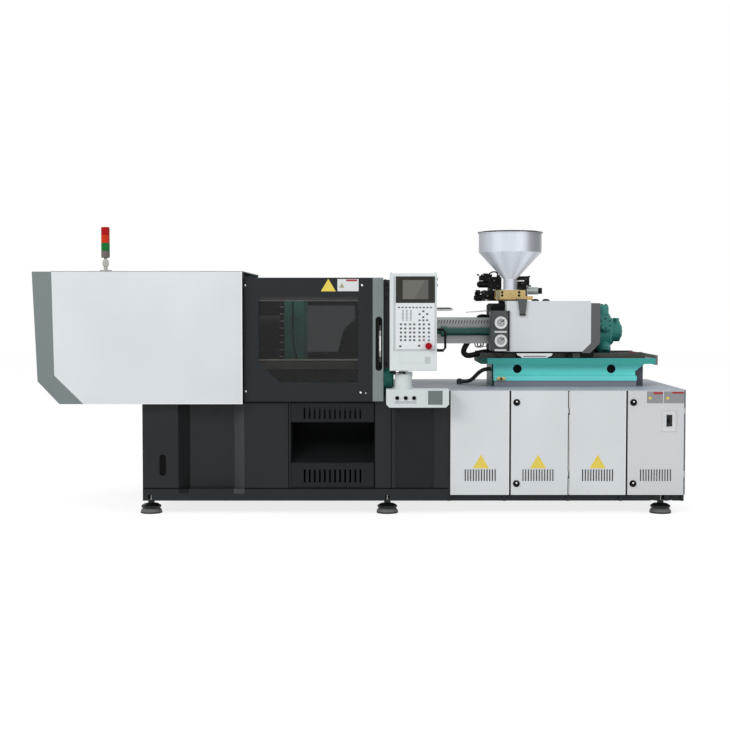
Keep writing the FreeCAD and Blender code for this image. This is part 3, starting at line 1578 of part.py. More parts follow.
def main():
    os.makedirs("parts", exist_ok=True)
    save("levelling_feet", levelling_feet())
    save("clamp_base", clamp_base())
    save("base_panels", base_panels())
    save("fixed_platen", fixed_platen())
    save("moving_platen", [moving_platen()])
    save("tail_platen", tail_platen())
    save("tie_bars", tie_bars())
    save("clamp_cylinder", [clamp_cylinder()])
    save("clamp_ram", [clamp_ram()])
    save("clamp_front_cover", [clamp_front_cover()])
    save("clamp_rear_cover", [clamp_rear_cover()])
    save("clamp_end_cover", [clamp_end_cover()])
    save("tower_light_base", [tower_light_base()])
    save("tower_light_column", [tower_light_column()])
    save("gate_frames", gate_frames())
    save("front_gate", [front_gate()])
    save("front_gate_window", [gate_pane(window_outline(window_lap - gap))])
    save("rear_gate", [rear_gate()])
    save("cabinet_frame", cabinet_frame())
    save("cabinet_top", [cabinet_top()])
    save("cabinet_fixed_panels", fixed_panels())
    save("cabinet_rear_shell", [cabinet_rear_shell()])
    save("cabinet_door_left", [door(1)])
    save("cabinet_door_right", [door(3)])
    for side, index in (("left", 1), ("right", 3)):
        for place, z in zip(("low", "high"), lock_heights):
            save("door_lock_" + side + "_" + place, [door_lock(index, z)])
    save("main_switch_lever", [main_switch_lever()])
    save("pump_unit", [pump_unit()])
    save("electrical_plate", [electrical_plate()])
    save("injection_bed", [injection_bed()])
    save("bed_rails", bed_rails())
    save("injection_housing", [injection_housing()])
    save("injection_cover", [injection_cover()])
    save("cover_end_trim", [cover_end_trim()])
    save("gauge_panel", [gauge_panel()])
    save("pressure_gauges", pressure_gauges())
    save("barrel", [barrel()])
    save("barrel_guard", [barrel_guard()])
    save("pull_in_cylinders", pull_in_cylinders())
    save("screw", [screw()])
    save("hydraulic_motor", [hydraulic_motor()])
    save("hopper", [hopper()])
    save("hopper_lid", [hopper_lid()])
    save("hopper_slide_block", [hopper_slide_block()])
    save("hopper_base_plate", [hopper_base_plate()])
    save("valve_stack", [valve_stack()])
    save("console_box", [console_box()])
    for name, x in zip(("left", "middle", "right"), button_places):
        save("console_button_" + name, [console_button(x)])
    save("panel_pedestal", [panel_pedestal()])
    save("panel_lock_lever", [panel_lock_lever()])
    save("control_panel", [control_panel()])
    save("panel_fascia", [panel_fascia()])
    save("estop_button", [estop_button()])
    save("panel_handle", [panel_handle()])
    save("feed_hose", [feed_hose()])
    save("conduit_hose", [conduit_hose()])


main()
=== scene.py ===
import math

import bmesh
import bpy
from mathutils import Matrix, Vector


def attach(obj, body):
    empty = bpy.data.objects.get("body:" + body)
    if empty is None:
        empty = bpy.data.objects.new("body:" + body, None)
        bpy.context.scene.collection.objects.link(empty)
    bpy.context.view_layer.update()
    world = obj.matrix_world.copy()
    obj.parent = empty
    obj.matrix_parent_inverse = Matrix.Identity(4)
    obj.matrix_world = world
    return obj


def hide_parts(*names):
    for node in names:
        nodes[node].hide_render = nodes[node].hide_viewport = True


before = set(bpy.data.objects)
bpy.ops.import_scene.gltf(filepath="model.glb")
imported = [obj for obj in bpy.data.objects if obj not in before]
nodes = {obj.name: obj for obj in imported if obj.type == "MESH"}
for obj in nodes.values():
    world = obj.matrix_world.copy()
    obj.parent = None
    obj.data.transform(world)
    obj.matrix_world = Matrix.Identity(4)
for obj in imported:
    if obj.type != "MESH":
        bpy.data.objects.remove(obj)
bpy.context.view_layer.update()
mm = 0.001
rowShift = 67.5  # the machine's centre line lies this far behind the frame's origin, in mm
creaseAngle = 35  # degrees from which an edge is drawn sharp
print("frame loaded:", len(nodes), "nodes")


# Places and shapes. Every size below is in millimetres, about the machine's own centre line.


def at(x, y, z):
    return Vector((x, y + rowShift, z)) * mm


def newShape():
    shape = bmesh.new()
    shape.faces.layers.int.new("marked")
    return shape


def freshFaces(shape):
    marked = shape.faces.layers.int["marked"]
    return [face for face in shape.faces if not face[marked]]


def markFaces(shape, finish):
    marked = shape.faces.layers.int["marked"]
    for face in freshFaces(shape):
        face[marked] = 1
        face.material_index = finish


def roundEdges(shape, edges, offset, steps=2):
    bmesh.ops.bevel(shape, geom=list(edges), offset=offset * mm, offset_type="OFFSET", segments=steps,
                    profile=0.5, affect="EDGES", clamp_overlap=True, material=-1)


def addBlock(shape, x, y, z, round=0, steps=2, finish=0, turn=None):
    centre = at((x[0] + x[1]) / 2, (y[0] + y[1]) / 2, (z[0] + z[1]) / 2)
    size = Vector((x[1] - x[0], y[1] - y[0], z[1] - z[0])) * mm
    place = Matrix.Translation(centre) @ (turn or Matrix.Identity(4)) @ Matrix.Diagonal((*size, 1))
    made = bmesh.ops.create_cube(shape, size=1, matrix=place)["verts"]
    if round:
        roundEdges(shape, {edge for vert in made for edge in vert.link_edges}, round, steps)
    markFaces(shape, finish)


def addRod(shape, start, end, radius, sides=24, round=0, finish=0):
    start, end = at(*start), at(*end)
    turn = (end - start).to_track_quat("Z", "Y").to_matrix().to_4x4()
    made = bmesh.ops.create_cone(
        shape, cap_ends=True, cap_tris=False, segments=sides, radius1=radius * mm, radius2=radius * mm,
        depth=(end - start).length, matrix=Matrix.Translation((start + end) / 2) @ turn)["verts"]
    if round:
        rims = {edge for vert in made for edge in vert.link_edges
                if any(len(face.verts) == sides for face in edge.link_faces)}
        roundEdges(shape, rims, round)
    markFaces(shape, finish)


def addTurned(shape, profile, centre, axis, sides=40, finish=0):
    centre = at(*centre)
    along = Vector(axis).normalized()
    across = along.orthogonal().normalized()
    verts = [shape.verts.new(centre + along * step * mm + across * radius * mm) for radius, step in profile]
    edges = [shape.edges.new(pair) for pair in zip(verts, verts[1:])]
    bmesh.ops.spin(shape, geom=verts + edges, cent=centre, axis=along, dvec=(0, 0, 0), angle=math.tau,
                   steps=sides, use_merge=True, use_normal_flip=False, use_duplicate=False)
    fresh = list({vert for face in freshFaces(shape) for vert in face.verts})
    bmesh.ops.remove_doubles(shape, verts=fresh, dist=1e-6)
    markFaces(shape, finish)


def addPlate(shape, outline, push, round=0, steps=2, finish=0):
    corners = [shape.verts.new(at(*corner)) for corner in outline]
    face = shape.faces.new(corners)
    made = bmesh.ops.extrude_face_region(shape, geom=[face])["geom"]
    moved = [item for item in made if isinstance(item, bmesh.types.BMVert)]
    bmesh.ops.translate(shape, vec=Vector(push) * mm, verts=moved)
    if round:
        rim = {edge for item in made if isinstance(item, bmesh.types.BMFace) for edge in item.edges}
        roundEdges(shape, rim, round, steps)
    markFaces(shape, finish)


def addFrame(shape, outline, push, width):
    # a flat ring along the inside of an outline, with thickness
    corners = [shape.verts.new(at(*corner)) for corner in outline]
    face = shape.faces.new(corners)
    ring = bmesh.ops.inset_region(shape, faces=[face], thickness=width * mm, use_boundary=True,
                                  use_even_offset=True)["faces"]
    bmesh.ops.delete(shape, geom=[face], context="FACES_ONLY")
    made = bmesh.ops.extrude_face_region(shape, geom=ring, use_keep_orig=True)["geom"]
    moved = [item for item in made if isinstance(item, bmesh.types.BMVert)]
    bmesh.ops.translate(shape, vec=Vector(push) * mm, verts=moved)
    markFaces(shape, 0)


def obroundOutline(x, y, z, width, height, steps=8):
    # an upright slot's outline, seen from the front
    radius = width / 2
    rise = height / 2 - radius
    corners = []
    for centre, start in ((z + rise, 0), (z - rise, math.pi)):
        for step in range(steps + 1):
            turn = start + math.pi * step / steps
            corners.append((x + radius * math.cos(turn), y, centre + radius * math.sin(turn)))
    return corners


def frontOutline(corners, y):
    return [(x, y, z) for x, z in corners]


def rectangle(x, z):
    return ((x[0], z[0]), (x[1], z[0]), (x[1], z[1]), (x[0], z[1]))


def ringProfile(inner, outer, low, high):
    return [(inner, high), (outer, high), (outer, low), (inner, low), (inner, high)]


def addField(shape, corners, y, proud=0.6, finish=0):
    # a printed field or thin plate, sunk by 0.2 mm into a front face
    addPlate(shape, frontOutline(corners, y + 0.2), (0, -proud - 0.2, 0), round=min(0.3, proud / 2), steps=1,
             finish=finish)


def addScrew(shape, x, y, z, radius, rise, axis=(0, -1, 0), finish=0):
    # a domed head, sunk by 0.4 mm into its face
    profile = [(0, rise), (radius * 0.55, rise * 0.94), (radius * 0.88, rise * 0.62), (radius, rise * 0.15),
               (radius, -0.4), (0, -0.4)]
    addTurned(shape, profile, (x, y, z), axis, sides=16, finish=finish)


def finishPiece(shape, name, body, slot, *finishNames):
    bmesh.ops.recalc_face_normals(shape, faces=shape.faces)
    shape.faces.layers.int.remove(shape.faces.layers.int["marked"])
    mesh = bpy.data.meshes.new(name)
    shape.to_mesh(mesh)
    shape.free()
    mesh.shade_smooth()
    mesh.set_sharp_from_angle(angle=math.radians(creaseAngle))
    piece = bpy.data.objects.new(name, mesh)
    bpy.context.scene.collection.objects.link(piece)
    for finishName in finishNames:
        mesh.materials.append(finishes[finishName])
    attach(piece, body)


def addHose(name, body, finishName, route, diameter, length=None, replaces=()):
    line = bpy.data.curves.new(name, "CURVE")
    line.dimensions = "3D"
    spline = line.splines.new("NURBS")
    spline.points.add(len(route) - 1)
    for point, place in zip(spline.points, route):
        point.co = (*at(*place), 1)
    spline.order_u = 3
    spline.use_endpoint_u = True
    spline.resolution_u = 12
    line.bevel_depth = diameter / 2 * mm
    line.bevel_resolution = 6
    line.use_fill_caps = True
    line.materials.append(finishes[finishName])
    if length is None:
        length = spline.calc_length(resolution=64)
    hose = bpy.data.objects.new(name, line)
    bpy.context.scene.collection.objects.link(hose)
    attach(hose, body)
    if replaces:
        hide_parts(*replaces)


# Finishes


def tone(red, green, blue):
    def plain(level):
        level /= 255
        return level / 12.92 if level <= 0.04045 else ((level + 0.055) / 1.055) ** 2.4
    return (plain(red), plain(green), plain(blue), 1)


def evenTone(level):
    return (level, level, level, 1)


def shaded(colour, share):
    return tuple(min(1, level * share) for level in colour[:3]) + (1,)


finishes = {}  # each finish by its name


def newFinish(name):
    finish = bpy.data.materials.new(name)
    finishes[name] = finish
    finish.use_nodes = True
    tree = finish.node_tree
    tree.nodes.clear()
    shader = tree.nodes.new("ShaderNodeBsdfPrincipled")
    output = tree.nodes.new("ShaderNodeOutputMaterial")
    tree.links.new(shader.outputs[0], output.inputs[0])
    return tree, shader


def put(tree, kind, inputs=None, **settings):
    made = tree.nodes.new("ShaderNode" + kind)
    for key, value in settings.items():
        setattr(made, key, value)
    for key, value in (inputs or {}).items():
        if isinstance(value, bpy.types.NodeSocket):
            tree.links.new(value, made.inputs[key])
        else:
            made.inputs[key].default_value = value
    return made


def blendTone(tree, share, low, high):
    return put(tree, "Mix", {0: share, 6: low, 7: high}, data_type="RGBA").outputs[2]


def blendValue(tree, share, low, high):
    return put(tree, "Mix", {0: share, 2: low, 3: high}, data_type="FLOAT").outputs[0]


def multiplyTone(tree, first, second):
    return put(tree, "Mix", {0: 1.0, 6: first, 7: second}, data_type="RGBA", blend_type="MULTIPLY").outputs[2]


def reckon(tree, operation, first, second=0.0):
    return put(tree, "Math", {0: first, 1: second}, operation=operation).outputs[0]


def spread(tree, value, low, high, fromLow=0.3, fromHigh=0.7):
    return put(tree, "MapRange", {"Value": value, "From Min": fromLow, "From Max": fromHigh,
                                  "To Min": low, "To Max": high}).outputs[0]


def objectPlace(tree, stretch=(1, 1, 1)):
    place = put(tree, "TexCoord").outputs["Object"]
    if stretch == (1, 1, 1):
        return place
    return put(tree, "Mapping", {"Vector": place, "Scale": stretch}).outputs[0]


def grain(tree, place, scale, detail=3, roughness=0.5):
    return put(tree, "TexNoise", {"Vector": place, "Scale": scale, "Detail": detail,
                                  "Roughness": roughness}).outputs[0]


def insideBox(tree, place, limits):
    # 1 where the place lies in the box, limits in mm such as {"x": (80, 150)}
    axes = put(tree, "SeparateXYZ", {0: place}).outputs
    share = None
    for axis, (low, high) in limits.items():
        value = axes["xyz".index(axis)]
        shift = rowShift if axis == "y" else 0
        for operation, edge in (("GREATER_THAN", low), ("LESS_THAN", high)):
            if edge is None:
                continue
            side = reckon(tree, operation, value, (edge + shift) * mm)
            share = side if share is None else reckon(tree, "MULTIPLY", share, side)
    return share


def finishSurface(tree, shader, colour, rough, bump):
    tree.links.new(colour, shader.inputs["Base Color"])
    tree.links.new(rough, shader.inputs["Roughness"])
    tree.links.new(bump, shader.inputs["Normal"])


def paintFinish(name, colour, rough=0.4, vary=0.035, peel=0.12, zones=(), sheen=0.5):
    # powder coat: slow drift in tone, fine specks, orange peel
    # a zone is (box in mm, colour, roughness, metal); a fifth value says how clear it is
    tree, shader = newFinish(name)
    place = objectPlace(tree)
    drift = grain(tree, place, 1.6, 2)
    specks = grain(tree, place, 160, 4, 0.7)
    share = blendValue(tree, 0.25, drift, specks)
    share = spread(tree, share, 0, 1, 0.38, 0.62)
    shown = blendTone(tree, share, shaded(colour, 1 - vary), shaded(colour, 1 + vary))
    roughness = spread(tree, grain(tree, place, 14, 3), rough - 0.05, rough + 0.05)
    metal = clear = None
    for limits, zoneColour, zoneRough, zoneMetal, *zoneClear in zones:
        inside = insideBox(tree, place, limits)
        if zoneClear:
            clear = blendValue(tree, inside, 0.0 if clear is None else clear, zoneClear[0])
        shade = blendTone(tree, share, shaded(zoneColour, 0.95), shaded(zoneColour, 1.05))
        shown = blendTone(tree, inside, shown, shade)
        roughness = blendValue(tree, inside, roughness, zoneRough)
        if zoneMetal or metal is not None:
            metal = blendValue(tree, inside, 0.0 if metal is None else metal, zoneMetal)
    if metal is not None:
        tree.links.new(metal, shader.inputs["Metallic"])
    if clear is not None:
        tree.links.new(clear, shader.inputs["Transmission Weight"])
        shader.inputs["IOR"].default_value = 1.3
    shader.inputs["Specular IOR Level"].default_value = sheen
    if clear is not None:
        peel = reckon(tree, "MULTIPLY", reckon(tree, "SUBTRACT", 1.0, clear), peel)
    bump = put(tree, "Bump", {"Strength": peel, "Distance": 0.0006,
                              "Height": grain(tree, place, 420, 2)}).outputs[0]
    finishSurface(tree, shader, shown, roughness, bump)


def castFinish(name, colour, rough=0.5, gloss=0.5):
    # brushed enamel on rough castings: pits and soft lumps show through
    tree, shader = newFinish(name)
    place = objectPlace(tree)
    lumps = grain(tree, place, 55, 5, 0.6)
    pits = put(tree, "TexVoronoi", {"Vector": place, "Scale": 210}).outputs["Distance"]
    shown = blendTone(tree, spread(tree, lumps, 0, 1), shaded(colour, 0.82), shaded(colour, 1.15))
    roughness = spread(tree, grain(tree, place, 30, 3), rough - 0.1, rough + 0.08)
    height = blendValue(tree, 0.35, lumps, pits)
    shader.inputs["Specular IOR Level"].default_value = gloss
    bump = put(tree, "Bump", {"Strength": 0.35, "Distance": 0.0015, "Height": height}).outputs[0]
    finishSurface(tree, shader, shown, roughness, bump)


def metalFinish(name, colour, rough=0.3, brushed=(6, 6, 500), vary=0.1, reflectionBands=None, metal=1.0, satinPaintedBands=None):
    # ground or brushed metal: the scratches run along the axis with the small number
    # the satin part is a height range with its own painted reflection bands, a painted lift in brightness and
    # its own share of metal
    tree, shader = newFinish(name)
    place = objectPlace(tree)
    scratches = grain(tree, objectPlace(tree, brushed), 1, 4, 0.6)
    clouds = grain(tree, place, 5, 3)
    share = spread(tree, blendValue(tree, 0.4, scratches, clouds), 0, 1, 0.35, 0.65)
    shown = blendTone(tree, share, shaded(colour, 1 - vary), shaded(colour, 1 + vary))
    plain = shown
    if reflectionBands:
        shown = paintedReflectionBands(tree, place, shown, **reflectionBands)
    roughness = spread(tree, scratches, rough - 0.07, rough + 0.1)
    bump = put(tree, "Bump", {"Strength": 0.18, "Distance": 0.0003, "Height": scratches}).outputs[0]
    if satinPaintedBands:
        inside = insideBox(tree, place, {"z": satinPaintedBands["z"]})
        cone = paintedReflectionBands(tree, place, plain, reflectionBands["centre"], satinPaintedBands["reflectionBands"])
        paler = multiplyTone(tree, cone, evenTone(satinPaintedBands["paintedLift"]))
        shown = blendTone(tree, inside, shown, paler)
        tree.links.new(blendValue(tree, inside, metal, satinPaintedBands["metal"]), shader.inputs["Metallic"])
    else:
        shader.inputs["Metallic"].default_value = metal
    finishSurface(tree, shader, shown, roughness, bump)


def paintedReflectionBands(tree, place, shown, centre, reflectionBands):
    # painted reflection: broad light and dark bands up a rolled shell, laid by how far round its own axis
    # they stand
    spot = at(*centre)
    axes = put(tree, "SeparateXYZ", {0: place}).outputs
    east = reckon(tree, "SUBTRACT", axes[0], spot.x)
    north = reckon(tree, "SUBTRACT", axes[1], spot.y)
    reach = reckon(tree, "SQRT", reckon(tree, "ADD", reckon(tree, "MULTIPLY", east, east),
                                        reckon(tree, "MULTIPLY", north, north)))
    share = spread(tree, reckon(tree, "DIVIDE", east, reach), 0, 1, -1.0, 1.0)
    ramp = put(tree, "ValToRGB", {0: share})
    stops = ramp.color_ramp.elements
    while len(stops) < len(reflectionBands):
        stops.new(0.5)
    for stop, (where, level) in zip(stops, reflectionBands):
        stop.position = where
        stop.color = (level * 0.985, level, level * 1.03, 1)
    return multiplyTone(tree, shown, ramp.outputs[0])


def mouldedFinish(name, colour, rough=0.45, texture=0.2, vary=0.05, scale=900, gloss=0.5):
    # moulded plastic or rubber with a spark-eroded texture
    tree, shader = newFinish(name)
    place = objectPlace(tree)
    cells = put(tree, "TexVoronoi", {"Vector": place, "Scale": float(scale)}).outputs["Distance"]
    drift = grain(tree, place, 12, 3)
    shown = blendTone(tree, spread(tree, drift, 0, 1), shaded(colour, 1 - vary), shaded(colour, 1 + vary))
    roughness = spread(tree, grain(tree, place, 40, 2), rough - 0.05, rough + 0.05)
    bump = put(tree, "Bump", {"Strength": texture, "Distance": 0.0003, "Height": cells}).outputs[0]
    shader.inputs["Specular IOR Level"].default_value = gloss
    finishSurface(tree, shader, shown, roughness, bump)


def glassFinish(name, colour, rough):
    # smoked acrylic with faint handling marks
    tree, shader = newFinish(name)
    place = objectPlace(tree)
    haze = grain(tree, place, 7, 4, 0.6)
    shown = blendTone(tree, spread(tree, haze, 0, 1), shaded(colour, 0.96), shaded(colour, 1.04))
    roughness = spread(tree, haze, rough, rough + 0.04)
    bump = put(tree, "Bump", {"Strength": 0.02, "Distance": 0.0002,
                              "Height": grain(tree, place, 4, 1)}).outputs[0]
    shader.inputs["Transmission Weight"].default_value = 1.0
    shader.inputs["IOR"].default_value = 1.3
    finishSurface(tree, shader, shown, roughness, bump)


whiteSheet = tone(223, 228, 232)
darkSheet = tone(32, 36, 39)
greySheet = tone(124, 133, 134)
castGreen = tone(42, 134, 126)
plateGrey = tone(80, 84, 84)

# bars that show through openings: their tones, with painted reflections and highlight lines, as stripes:
# (height range, tone, roughness)
gateReflectionStripes = {
    "slotBar": {"box": {"x": (120.9, 139.1), "y": (-642.5, -626)}, "metal": 0.8, "stripes": (
        ((968, 1293), (16, 19, 19), 0.3), ((1010, 1252), (84, 86, 84), 0.3),
        ((1046, 1216), (182, 182, 178), 0.3), ((1082, 1180), (250, 249, 246), 0.3))},
    "innerRails": {"box": {"x": (-690, 4), "y": (-638.2, -619.8)}, "metal": 0.0, "stripes": (
        ((960, 1100), (104, 99, 92), 0.5), ((1100, 1460), (158, 158, 154), 0.5),
        ((1020, 1030), (232, 222, 206), 0.45), ((1410, 1417), (226, 224, 216), 0.45))},
}
# painted reflection bands on the hopper's shell: (how far round, level) from the left edge to the right
hopperShell = {
    "centre": (1049, 0, 0),
    "reflectionBands": ((0.0, 0.62), (0.1, 1.0), (0.2, 1.14), (0.32, 0.92), (0.43, 1.08), (0.56, 1.1), (0.68, 0.76),
              (0.8, 0.48), (0.92, 0.34), (1.0, 0.56)),
}
# the hopper's cone: its own painted reflection bands, a painted lift in brightness and its own share of
# metal, in a height range
hopperCone = {
    "z": (1566, 1752), "paintedLift": 1.42, "metal": 0.0,
    "reflectionBands": ((0.0, 0.74), (0.09, 0.7), (0.21, 1.32), (0.34, 1.04), (0.5, 1.1), (0.64, 0.92), (0.77, 1.2),
              (0.89, 0.72), (1.0, 0.86)),
}
printTones = {
    "rimGrey": (112, 117, 117), "rimLight": (176, 182, 182), "yellowPrint": (236, 212, 86),
    "palePrint": (226, 229, 230), "sandPrint": (168, 162, 128), "redPrint": (166, 42, 48),
    "greyPrint": (148, 149, 151), "platePrint": (108, 117, 119), "linePrint": (186, 191, 199),
    # the bed's fold lines in these tones are painted shade
    "bandGrey": (196, 203, 206), "inkPrint": (54, 56, 58), "bedFoldShade": (40, 128, 122),
    "stopRed": (112, 48, 46),
}
keyTones = {
    "keyGrey": (140, 145, 150), "keyDark": (48, 52, 56), "keyPink": (196, 158, 178),
    "keyBlue": (176, 198, 214), "keyGreen": (158, 178, 158),
}


def reflectionStripeZones(bar):
    return [({**bar["box"], "z": z}, tone(*levels), rough, bar["metal"])
            for z, levels, rough in bar["stripes"]]


paintFinish("whiteCover", whiteSheet, 0.38, sheen=0.3)
paintFinish("roofCover", whiteSheet, 0.38, sheen=0.3, zones=[
    ({"z": (1603.9, None)}, tone(140, 146, 148), 0.45, 0.0)])
paintFinish("greyCover", greySheet, 0.42, sheen=0.25)
paintFinish("baseGrey", darkSheet, 0.42, vary=0.07, peel=0.16, sheen=0.22, zones=[
    ({"x": (1866, 1960), "z": (819.5, None)}, tone(92, 92, 102), 0.45, 0.0),
    ({"x": (900, 990), "z": (819.5, None)}, tone(52, 104, 96), 0.45, 0.0),
    # the frame is painted pale where it shows in the gap beside the right door: painted light in place of the
    # gap's shade
    ({"x": (2140, None), "z": (126, 819)}, tone(170, 176, 182), 0.45, 0.0),
    # the recess's left slant is painted darker and its right slant lighter, as painted shade and painted
    # light; the chute's inside is painted near black, as painted shade
    ({"x": (-1209, -1139), "y": (None, -540), "z": (135, 745)}, tone(5, 7, 8), 0.6, 0.0),
    ({"x": (-841, -771), "y": (None, -540), "z": (135, 745)}, tone(67, 72, 76), 0.5, 0.0),
    ({"x": (-466, 93), "y": (-606, 606), "z": (300, 640)}, tone(6, 9, 10), 0.8, 0.0)])
paintFinish("panelGrey", tone(21, 27, 30), 0.42, vary=0.07, peel=0.16, sheen=0.2)
# the front gate: its pull bar and inner rails carry painted reflections and highlight lines
paintFinish("gateGrey", tone(33, 37, 41), 0.4, vary=0.06, sheen=0.22, zones=[
    ({"x": (79, None)}, tone(138, 148, 148), 0.42, 0.0),
    ({"x": (97.9, 142.1), "z": (951.9, 1309.1), "y": (-649.5, None)}, tone(11, 12, 12), 0.6, 0.0),
    *reflectionStripeZones(gateReflectionStripes["slotBar"]), *reflectionStripeZones(gateReflectionStripes["innerRails"])])
paintFinish("rearGateGrey", darkSheet, 0.4, vary=0.06, sheen=0.22, zones=[
    ({"x": (79, None)}, greySheet, 0.42, 0.0),
    ({"x": (-435, -33), "y": (638.9, 645.1), "z": (1014, 1393)}, tone(84, 86, 87), 0.05, 0.0, 1.0)])
paintFinish("frameGrey", tone(30, 33, 36), 0.42, vary=0.06, sheen=0.2, zones=[
    ({"x": (100, None)}, tone(45, 50, 57), 0.42, 0.0)])
paintFinish("trimGrey", tone(98, 100, 102), 0.42, sheen=0.25)
paintFinish("gaugeGrey", tone(84, 89, 89), 0.42, sheen=0.2)
# the cabinet top: pale paint made darker and bluer, as painted shade on a top face; parts standing above
# 825.5 mm are darker grey
paintFinish("topSheetShaded", tone(178, 184, 196), 0.5, sheen=0.12, zones=[
    ({"z": (825.5, None)}, tone(84, 88, 94), 0.5, 0.0)])
# the bed: its web is painted much lighter than the teal higher up, as painted light against the shadow under
# the top plate
paintFinish("bedTealLitWeb", tone(116, 234, 230), 0.34, vary=0.05, peel=0.2, sheen=0.35, zones=[
    ({"z": (980.5, None)}, tone(62, 168, 160), 0.36, 0.0),
    ({"z": (1020, None), "y": (-298, 298)}, tone(56, 60, 57), 0.45, 0.1),
    ({"x": (2015.5, None)}, tone(104, 112, 104), 0.45, 0.2),
    ({"x": (None, 866), "z": (979, None)}, tone(22, 84, 74), 0.75, 0.0)])
castFinish("castPaint", castGreen)
paintFinish("glossGreen", tone(22, 84, 78), 0.25, vary=0.1, peel=0.06, sheen=0.4)
# the cast green painted darker, as painted shade, for the fixed platen and the motor's bolts
castFinish("paintedShadeGreen", tone(26, 86, 78), 0.5, gloss=0.2)
castFinish("platenPaint", tone(96, 178, 164), 0.45)
metalFinish("groundSteel", tone(150, 148, 143), 0.3)
metalFinish("railSteel", tone(60, 62, 59), 0.45, metal=0.2)
paintFinish("lidBlack", tone(16, 17, 18), 0.45, sheen=0.2)
paintFinish("ramDark", tone(30, 31, 28), 0.4, vary=0.2, sheen=0.15)
paintFinish("dialGrey", tone(196, 200, 202), 0.4, sheen=0.2)
# tie bars: chrome painted dark brown, a painted reflection of the dark machine round them
metalFinish("tieBarDarkReflection", tone(92, 90, 85), 0.4, metal=0.6)
metalFinish("brightSteel", tone(205, 205, 203), 0.2, vary=0.06)
metalFinish("zincPlate", tone(214, 215, 214), 0.24, brushed=(60, 60, 60), vary=0.05, metal=0.8)
metalFinish("scaleSilver", tone(222, 224, 226), 0.35, brushed=(4, 300, 300), vary=0.04, metal=0.5)
paintFinish("gaugeCase", tone(232, 234, 234), 0.28, sheen=0.6, zones=[
    ({"x": (949.5, 958.5), "y": (-339.5, -334.9)}, tone(20, 20, 21), 0.4, 0.0)])
metalFinish("guardSteel", tone(160, 163, 163), 0.4, brushed=(4, 300, 300), metal=0.7)
# the hopper: brushed steel, with painted reflection bands round its shell and its cone
metalFinish("hopperSteel", tone(214, 218, 224), 0.34, brushed=(260, 260, 5), vary=0.05, metal=0.5,
            reflectionBands=hopperShell, satinPaintedBands=hopperCone)
paintFinish("blackSteel", tone(14, 15, 16), 0.38, vary=0.12, peel=0.2, sheen=0.15)
paintFinish("valveBlack", tone(11, 13, 12), 0.4, vary=0.2, peel=0.3, sheen=0.16, zones=[
    ({"x": (1180, 1261.5), "z": (None, 1515)}, tone(168, 178, 176), 0.3, 0.8)])
paintFinish("housingDark", tone(26, 29, 29), 0.75, vary=0.1, peel=0.2, sheen=0.06, zones=[
    ({"x": (1450, 1500), "y": (None, -250), "z": (1022, 1056)}, tone(74, 76, 73), 0.4, 0.0)])
metalFinish("goldMetal", tone(206, 180, 122), 0.38, brushed=(5, 320, 320), vary=0.06, metal=0.6)
paintFinish("spoutPlate", tone(226, 190, 122), 0.36, sheen=0.5, zones=[
    ({"y": (None, -79.5)}, plateGrey, 0.45, 0.2),
    ({"y": (None, -79.5), "z": (None, 1326)}, tone(20, 21, 22), 0.5, 0.0)])
mouldedFinish("blackPlastic", tone(7, 7, 8), 0.45, gloss=0.08)
paintFinish("paleSheet", tone(218, 225, 227), 0.36, sheen=0.3)
paintFinish("panelFace", tone(227, 234, 235), 0.36, sheen=0.3, zones=[
    ({"x": (495.2, None)}, tone(32, 33, 34), 0.4, 0.0)])
paintFinish("fasciaPrint", tone(234, 239, 243), 0.34, vary=0.02, sheen=0.35, zones=[
    ({"y": (None, -793.2)}, tone(34, 34, 28), 0.3, 0.0)])
# the left door: the hinge knuckles in its seam are painted dark, as painted shade continuing the gap
paintFinish("doorLeft", whiteSheet, 0.38, sheen=0.3, zones=[
    ({"x": (1371, 1383), "y": (None, -630.1)}, tone(40, 43, 46), 0.5, 0.0)])
paintFinish("doorRight", tone(217, 221, 224), 0.38, sheen=0.3, zones=[
    # the grey strip down the door's right edge is painted shade
    ({"x": (2136, 2149), "y": (None, -630.1), "z": (140, 810)}, tone(150, 156, 162), 0.5, 0.0),
    ({"x": (2001, 2090), "z": (549.5, 683.5), "y": (None, -630.3)}, tone(226, 230, 233), 0.35, 0.0),
    ({"x": (2019, 2060), "z": (584, 660), "y": (None, -631.2)}, tone(24, 25, 27), 0.4, 0.0)])
mouldedFinish("hoseRubber", tone(12, 12, 12), 0.5, 0.3, 0.15, 700, gloss=0.25)
mouldedFinish("conduitGrey", tone(58, 59, 58), 0.42, 0.3, 0.15, 700)
mouldedFinish("leadPale", tone(196, 196, 190), 0.5, 0.2, 0.1, 900)
paintFinish("footRubber", tone(20, 21, 21), 0.38, vary=0.2, peel=0.4, sheen=0.3, zones=[
    # the grey band low on each foot is a painted highlight, dark again at the very bottom
    ({"z": (None, 34)}, tone(104, 106, 103), 0.5, 0.0),
    ({"z": (None, 10)}, tone(26, 27, 26), 0.5, 0.0),
    ({"z": (87.5, None)}, tone(186, 188, 188), 0.3, 0.9)])
mouldedFinish("redPlastic", tone(164, 4, 20), 0.32, 0.08, 0.08, gloss=0.15)
paintFinish("towerGrey", tone(182, 184, 174), 0.4)
paintFinish("towerLamps", tone(176, 6, 14), 0.22, vary=0.06, peel=0.05, sheen=0.15, zones=[
    ({"z": (None, 1844)}, tone(204, 52, 14), 0.22, 0.0),
    ({"z": (None, 1792)}, tone(10, 112, 46), 0.22, 0.0),
    ({"z": (None, 1740)}, tone(112, 106, 104), 0.4, 0.0),
    ({"z": (None, 1694.5)}, tone(186, 188, 178), 0.4, 0.0)])
glassFinish("windowGlass", tone(156, 158, 158), 0.03)
paintFinish("screenGlass", tone(90, 91, 83), 0.3, vary=0.06, peel=0.02)
